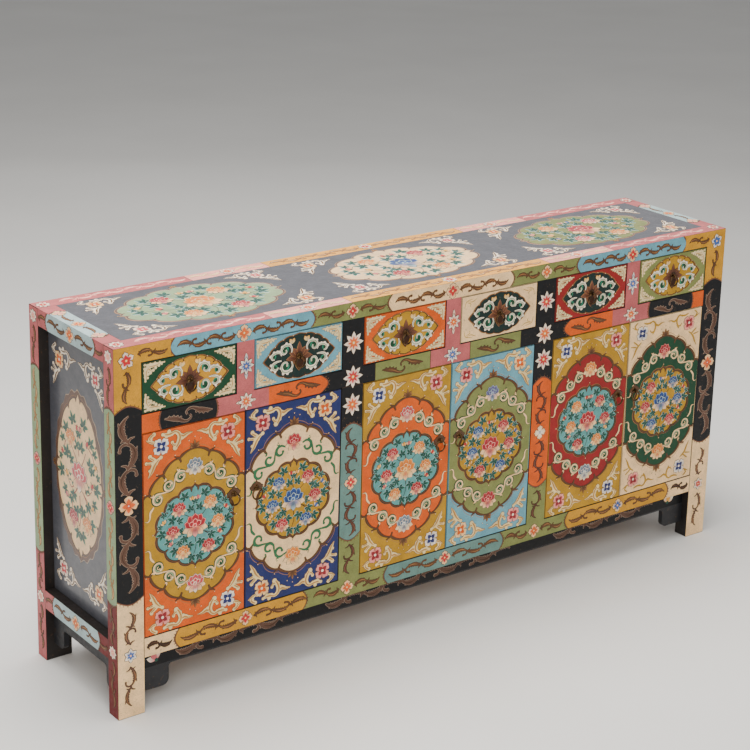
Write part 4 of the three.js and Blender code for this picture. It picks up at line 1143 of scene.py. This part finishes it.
def bronze_piece(name, parts, place, body):
    """A cast piece from (points in mm about its place, triangles), finished in aged bronze."""
    shift = np.cumsum([0] + [len(points) for points, _ in parts[:-1]])
    points = np.concatenate([points for points, _ in parts]) * MM + np.array(place)
    made = mesh_object(name, points, np.concatenate([t + s for (_, t), s in zip(parts, shift)]), smooth_faces=True)
    made.data.materials.append(made_once("aged_bronze", aged_bronze))
    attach(made, body)
    return made


def pull_ring(name, pin, body, old):
    """The ring: a wire bent round a circle that hangs from the pin, its radius swelling away from the pin, its
    surface lightly hammered. In the plane of the circle t runs round it and s round the wire."""
    size = bpy.context.scene.cabinet_pulls
    t = np.linspace(0, 2 * np.pi, 72, endpoint=False)[:, None]
    s = np.linspace(0, 2 * np.pi, 18, endpoint=False)[None]
    bend = (size.ring_radius - size.wire_radius) / MM
    away = (1 - np.cos(t)) / 2
    wire = size.wire_radius / MM * (0.97 + size.swell * away) + 0.05 * away * np.sin(9 * t + 2 * s)
    reach = bend + wire * np.cos(s)
    rows = np.stack([reach * np.sin(t), -wire * np.sin(s), reach * np.cos(t) - bend], -1)
    made = bronze_piece(name, [lofted(rows, closed=True)], pin, body)
    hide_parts(old)


def pull_eye(name, pin, stand_off, body):
    """The eye: a round foot narrowing to a flat stem, drawn out across the face, and a thick bead round the hole
    in which the ring turns, carried round the axis of the ring's pin."""
    turn = np.exp(2j * np.pi * np.arange(36) / 36)
    flat = np.zeros(36)
    foot = ((6.4, 6.4, 0.3), (6.6, 6.6, 0.9), (6.0, 6.0, 1.7), (4.6, 4.6, 2.0), (2.9, 3.9, 2.4), (2.2, 3.5, 3.0),
            (2.0, 3.3, 3.4))
    stem = [np.stack([a * turn.real, flat + stand_off - out, b * turn.imag], -1) for a, b, out in foot]
    bead = ((1.75, 2.2), (1.55, 1.98), (-1.55, 1.98), (-1.75, 2.2), (-2.3, 3.2), (-1.9, 4.1), (-0.9, 4.5), (0.9, 4.5),
            (1.9, 4.1), (2.3, 3.2))
    loops = [np.stack([flat + x, r * turn.real, r * turn.imag], -1) for x, r in bead]
    bronze_piece(name, [lofted(stem), lofted(loops, closed=True)], pin, body)


def in_mm(box):
    """A box's lowest and highest corners in mm."""
    return [np.array(corner) / MM for corner in box]


# Places on the cabinet in mm, in the frame's own coordinates: left, front and floor are -x, -y and z = 0.
LOW, HIGH = in_mm(cad_box)
LEFT, RIGHT, BACK, TOP = LOW[0], HIGH[0], HIGH[1], HIGH[2]
FRONT = in_mm(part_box("leg_front_left"))[0][1]
MIDDLE = (FRONT + BACK) / 2
LEG_WIDE, LEG_DEEP = 58, 36
TOP_RAIL, MID_HIGH, MID_LOW, BOTTOM_HIGH, BOTTOM_LOW = TOP - 35, TOP - 139, TOP - 176, 158, 118
TOP_RAIL_WIDE, PANEL_FACE = 38, 22
LEAF_LOW, LEAF_HIGH = 159.5, 578.5
ACROSS, BACKWARD, UPWARD = (1, 0, 0), (0, 1, 0), (0, 0, 1)


def oblong(left, low, right, high):
    """An oblong's lower left and upper right corners as complex points."""
    return complex(left, low), complex(right, high)


class CABINET_PG_paint(bpy.types.PropertyGroup):
    """The thickness of the paint and the softness of the timber under it."""
    relief: bpy.props.FloatProperty(
        name="Relief", description="How far raised marks stand over their ground", default=0.00055, min=0,
        unit="LENGTH")
    gap: bpy.props.FloatProperty(
        name="Gap", description="How far the paint stands over the timber", default=0.00025, min=0.0001,
        unit="LENGTH")
    inset: bpy.props.FloatProperty(
        name="Inset", description="Bare strip from the paint to the timber's corners", default=0.0003, min=0,
        unit="LENGTH")
    bevel: bpy.props.FloatProperty(
        name="Softened corner", description="Width of the timber's softened corners", default=0.0007, min=0,
        unit="LENGTH")


class CABINET_PG_inks(bpy.types.PropertyGroup):
    """One colour for each ink of the paintings."""
    __annotations__ = {
        name: bpy.props.FloatVectorProperty(
            name=name.capitalize(), description=f"Linear colour of the {name} paint", subtype="COLOR", size=3,
            min=0, max=1, default=tuple(linear(value)))
        for name, value in INKS.items()
    }


class CABINET_PG_pulls(bpy.types.PropertyGroup):
    """The sizes of the twelve rings."""
    ring_radius: bpy.props.FloatProperty(
        name="Ring radius", description="Outer radius of a ring", default=0.013, unit="LENGTH")
    wire_radius: bpy.props.FloatProperty(
        name="Wire radius", description="Half the thickness of the wire", default=0.0016, unit="LENGTH")
    swell: bpy.props.FloatProperty(
        name="Swell", description="How much thicker the wire is at the bottom", default=0.12)


class CABINET_PG_stage(bpy.types.PropertyGroup):
    """The camera's place and the floor's colour."""
    azimuth: bpy.props.FloatProperty(
        name="Azimuth", description="The camera's turn round the cabinet", default=math.radians(-37.093),
        subtype="ANGLE")
    elevation: bpy.props.FloatProperty(
        name="Elevation", description="The camera's height above level", default=math.radians(16.568),
        subtype="ANGLE")
    roll: bpy.props.FloatProperty(
        name="Roll", description="The camera's tilt", default=math.radians(1.41), subtype="ANGLE")
    distance: bpy.props.FloatProperty(
        name="Distance", description="From the camera to the point it looks at", default=4.0798, unit="LENGTH")
    target: bpy.props.FloatVectorProperty(
        name="Target", description="The point the camera looks at", default=(-0.081, 0.0045, 0.742), subtype="XYZ",
        unit="LENGTH")
    floor: bpy.props.FloatVectorProperty(
        name="Floor", description="Linear colour of the floor", default=tuple(linear("#e4e3e0")), subtype="COLOR",
        size=3)


class CABINET_OT_timber(bpy.types.Operator):
    """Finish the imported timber: dark paint on frame and aprons, each leaf's own ground on its edges, bare softwood
    inside, softened corners."""
    bl_idname = "cabinet.timber"
    bl_label = "Timber finishes"

    def finish_of(self, name, slot):
        """The material for a node in this slot of the record."""
        if slot in ("painted_frame", "painted_panel"):
            return made_once("umber_oil_paint", brushed_paint, "#221d1b")
        if slot == "black_paint":
            return made_once("black_oil_paint", brushed_paint, "#1d1e22")
        if slot in ("painted_door", "painted_drawer"):
            rows = DOORS if slot == "painted_door" else DRAWERS
            ground = rows[int(name.rsplit("_", 1)[1]) - 1].ground
            return made_once(f"{ground}_oil_paint_on_pine", brushed_paint, INKS[ground], "#9a6f45")
        if slot == "bare_wood":
            low, high = in_mm(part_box(name))
            axis = int(np.argmax(high - low))
            return made_once("planed_pine_along_" + "xyz"[axis], sawn_pine, axis)
        return made_once("aged_bronze", aged_bronze)

    def execute(self, context):
        slots = {row["node"]: row["material_slot"] for row in frame["record"]["subparts"]}
        for name, piece in frame["nodes"].items():
            piece.data.materials.clear()
            piece.data.materials.append(self.finish_of(name, slots[name]))
            if slots[name] != "bronze":
                piece.modifiers.new("join", "WELD").merge_threshold = 0.00001
                soft = piece.modifiers.new("soft corners", "BEVEL")
                soft.width, soft.segments = context.scene.cabinet_paint.bevel, 1
                soft.limit_method, soft.angle_limit = "ANGLE", 0.7
        return {"FINISHED"}


class CABINET_OT_front(bpy.types.Operator):
    """Paint the posts, rails and stiles of the front and the strip of the apron under them."""
    bl_idname = "cabinet.front"
    bl_label = "Front painting"

    def execute(self, context):
        inset = context.scene.cabinet_paint.inset / MM
        left, right = LEFT + LEG_WIDE, RIGHT - LEG_WIDE
        timbers = [oblong(LEFT + inset, inset, left, TOP - inset), oblong(right, inset, RIGHT - inset, TOP - inset),
                   oblong(left, TOP_RAIL, right, TOP - inset), oblong(left, MID_LOW, right, MID_HIGH),
                   oblong(left, BOTTOM_LOW, right, BOTTOM_HIGH)]
        for kind, foot, numbers in (("bay_stile", BOTTOM_LOW, (1, 2)), ("drawer_stile", MID_HIGH, (1, 2, 3))):
            for k in numbers:
                low, high = in_mm(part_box(f"{kind}_{k}"))
                timbers.append(oblong(low[0], foot, high[0], TOP_RAIL))
        sheet = {"left": LEFT, "right": RIGHT, "top": TOP, "inset": inset, "timbers": timbers}
        painted_skin("front_frame_painting", front_frame_painting(sheet), (0, FRONT * MM, 0), ACROSS, UPWARD,
                     "carcass")
        low, high = in_mm(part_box("apron_front"))
        strip = oblong(low[0] + 1, high[2] - 34, high[0] - 1, high[2] - 0.5)
        painted_skin("front_apron_painting", apron_painting(*strip), (0, low[1] * MM, 0), ACROSS, UPWARD, "carcass")
        return {"FINISHED"}


class CABINET_OT_ends(bpy.types.Operator):
    """Paint the posts, rails and recessed panel of the two ends."""
    bl_idname = "cabinet.ends"
    bl_label = "End paintings"

    def execute(self, context):
        inset = context.scene.cabinet_paint.inset / MM
        deep = BACK - FRONT
        inner = deep - LEG_DEEP
        timbers = [oblong(inset, inset, LEG_DEEP, TOP - inset), oblong(inner, inset, deep - inset, TOP - inset),
                   oblong(LEG_DEEP, TOP_RAIL, inner, TOP - inset), oblong(LEG_DEEP, BOTTOM_LOW, inner, BOTTOM_HIGH)]
        panel_wide, panel_high = inner - LEG_DEEP - 1, TOP_RAIL - BOTTOM_HIGH - 1
        for side, x, start, across in (("left", LEFT, BACK, -1), ("right", RIGHT, FRONT, 1)):
            sheet = {"wide": deep, "top": TOP, "inset": inset, "post": LEG_DEEP, "front_last": across < 0,
                     "timbers": timbers}
            painted_skin(f"{side}_end_painting", side_frame_painting(sheet), (x * MM, start * MM, 0), (0, across, 0),
                         UPWARD, "carcass")
            middle = ((x - PANEL_FACE * across) * MM, MIDDLE * MM, (TOP_RAIL + BOTTOM_HIGH) / 2 * MM)
            painted_skin(f"{side}_panel_painting", side_panel_painting(panel_wide, panel_high, 14 * across), middle,
                         (0, across, 0), UPWARD, "carcass", VARNISHED)
        return {"FINISHED"}


class CABINET_OT_top(bpy.types.Operator):
    """Paint the four rails and the panel of the top."""
    bl_idname = "cabinet.top"
    bl_label = "Top painting"

    def execute(self, context):
        inset = context.scene.cabinet_paint.inset / MM
        wide, deep, rail = RIGHT - LEFT, BACK - FRONT, TOP_RAIL_WIDE
        timbers = [oblong(inset, inset, wide - inset, rail), oblong(inset, deep - rail, wide - inset, deep - inset),
                   oblong(inset, rail, rail, deep - rail), oblong(wide - rail, rail, wide - inset, deep - rail)]
        sheet = {"wide": wide, "deep": deep, "rail": rail, "inset": inset, "timbers": timbers}
        painted_skin("top_frame_painting", top_frame_painting(sheet), (LEFT * MM, FRONT * MM, TOP * MM), ACROSS,
                     BACKWARD, "carcass", VARNISHED)
        painted_skin("top_panel_painting", top_panel_painting(wide - 2 * rail - 1, deep - 2 * rail - 1),
                     (0, MIDDLE * MM, TOP * MM), ACROSS, BACKWARD, "carcass", VARNISHED)
        return {"FINISHED"}


class CABINET_OT_doors(bpy.types.Operator):
    """Paint the six doors."""
    bl_idname = "cabinet.doors"
    bl_label = "Door paintings"

    def execute(self, context):
        inset = context.scene.cabinet_paint.inset / MM
        level = (LEAF_HIGH + LEAF_LOW) / 2
        for k, row in enumerate(DOORS, 1):
            low, high = in_mm(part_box(f"door_{k}"))
            middle = (low[0] + high[0]) / 2
            pull = sum(in_mm(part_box(f"door_ring_{k}"))) / 2
            marks = door_painting((high[0] - low[0]) / 2 - inset, (LEAF_HIGH - LEAF_LOW) / 2 - inset, row,
                                  complex(pull[0] - middle, pull[2] - level))
            painted_skin(f"door_{k}_painting", marks, (middle * MM, FRONT * MM, level * MM), ACROSS, UPWARD,
                         f"door_{k}")
        return {"FINISHED"}


class CABINET_OT_drawers(bpy.types.Operator):
    """Paint the six drawer fronts."""
    bl_idname = "cabinet.drawers"
    bl_label = "Drawer paintings"

    def execute(self, context):
        inset = context.scene.cabinet_paint.inset / MM
        for k, row in enumerate(DRAWERS, 1):
            low, high = in_mm(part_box(f"drawer_front_{k}"))
            middle, half = (low + high) / 2, (high - low) / 2 - inset
            place = (middle[0] * MM, FRONT * MM, middle[2] * MM)
            painted_skin(f"drawer_{k}_painting", drawer_painting(half[0], half[2], row), place, ACROSS, UPWARD,
                         f"drawer_{k}")
        return {"FINISHED"}


class CABINET_OT_pulls(bpy.types.Operator):
    """Hang the twelve bronze rings in their eyes."""
    bl_idname = "cabinet.pulls"
    bl_label = "Ring pulls"

    def execute(self, context):
        bend = context.scene.cabinet_pulls.ring_radius - context.scene.cabinet_pulls.wire_radius
        for kind in ("door", "drawer"):
            for k in range(1, 7):
                old = f"{kind}_ring_{k}"
                middle = sum(np.array(corner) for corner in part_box(old)) / 2
                pin = middle + (0, 0, bend)
                pull_ring(f"{kind}_{k}_bronze_ring", pin, old, old)
                pull_eye(f"{kind}_{k}_bronze_eye", pin, FRONT - middle[1] / MM, f"{kind}_{k}")
        return {"FINISHED"}


class CABINET_OT_stage(bpy.types.Operator):
    """Lay the pale floor, hang the soft lights and set up the camera."""
    bl_idname = "cabinet.stage"
    bl_label = "Stage"

    def execute(self, context):
        scene, settings = context.scene, context.scene.cabinet_stage
        corners = FLOOR_REACH * np.array([(-1, -1, 0), (1, -1, 0), (1, 1, 0), (-1, 1, 0)], float)
        floor = mesh_object("floor", corners, np.array([(0, 1, 2), (0, 2, 3)]))
        material, tree, shader, place = shaded("matt_pale_floor", Roughness=0.85)
        tone = np.array(settings.floor)
        clouds = pattern(tree, place, 600, (0.3, 0.7, 0.0, 1.0))
        cloudy = node(tree, "ShaderNodeMix", MIXED, {0: clouds, 6: tone * 0.97, 7: tone * 1.02}).outputs[2]
        tree.links.new(cloudy, shader.inputs["Base Color"])
        floor.data.materials.append(material)
        for name, spot, watts, size in LIGHTS:
            lamp = bpy.data.objects.new(f"{name}_light", bpy.data.lights.new(f"{name}_light", "AREA"))
            lamp.data.energy, lamp.data.size, lamp.data.color = watts, size, WARM_WHITE
            lamp.location = spot
            lamp.rotation_euler = (LIT_POINT - Vector(spot)).to_track_quat("-Z", "Y").to_euler()
            lamp.visible_camera = False
            scene.collection.objects.link(lamp)
        scene.world = bpy.data.worlds.new("studio")
        scene.world.use_nodes = True
        sky = scene.world.node_tree.nodes["Background"]
        sky.inputs[0].default_value, sky.inputs[1].default_value = (1, 1, 1, 1), SKY
        camera = bpy.data.objects.new("camera", bpy.data.cameras.new("camera"))
        a, e = settings.azimuth, settings.elevation
        back = Vector((math.sin(a) * math.cos(e), -math.cos(a) * math.cos(e), math.sin(e)))
        camera.location = Vector(settings.target) + back * settings.distance
        aim = (-back).to_track_quat("-Z", "Y")
        camera.rotation_euler = (aim @ Matrix.Rotation(settings.roll, 3, "Z").to_quaternion()).to_euler()
        camera.data.sensor_width = SENSOR
        camera.data.lens = SENSOR * FOCAL_PIXELS / PHOTO_SIDE
        camera.data.shift_y = SHIFT_PIXELS / PHOTO_SIDE
        scene.collection.objects.link(camera)
        scene.camera = camera
        return {"FINISHED"}


OPERATORS = (CABINET_OT_stage, CABINET_OT_timber, CABINET_OT_front, CABINET_OT_ends, CABINET_OT_top, CABINET_OT_doors,
             CABINET_OT_drawers, CABINET_OT_pulls)
GROUPS = {"cabinet_paint": CABINET_PG_paint, "cabinet_inks": CABINET_PG_inks, "cabinet_pulls": CABINET_PG_pulls,
          "cabinet_stage": CABINET_PG_stage}


class CABINET_PT_pieces(bpy.types.Panel):
    """The cabinet's pieces and settings."""
    bl_label = "Painted cabinet"
    bl_idname = "CABINET_PT_pieces"
    bl_space_type = "VIEW_3D"
    bl_region_type = "UI"
    bl_category = "Cabinet"

    def draw(self, context):
        for operator in OPERATORS:
            self.layout.operator(operator.bl_idname)
        for name, group in GROUPS.items():
            box = self.layout.box()
            for key in group.__annotations__:
                box.prop(getattr(context.scene, name), key)


def register():
    """Register every class and hang the settings on the scene."""
    for item in (*GROUPS.values(), *OPERATORS, CABINET_PT_pieces):
        bpy.utils.register_class(item)
    for name, group in GROUPS.items():
        setattr(bpy.types.Scene, name, bpy.props.PointerProperty(type=group))


def unregister():
    """Take the settings and the classes away again."""
    for name in GROUPS:
        delattr(bpy.types.Scene, name)
    for item in reversed((*GROUPS.values(), *OPERATORS, CABINET_PT_pieces)):
        bpy.utils.unregister_class(item)


def main():
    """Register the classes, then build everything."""
    register()
    bpy.ops.cabinet.stage()
    bpy.ops.cabinet.timber()
    bpy.ops.cabinet.front()
    bpy.ops.cabinet.ends()
    bpy.ops.cabinet.top()
    bpy.ops.cabinet.doors()
    bpy.ops.cabinet.drawers()
    bpy.ops.cabinet.pulls()
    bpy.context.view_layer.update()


if __name__ == "__main__":
    main()
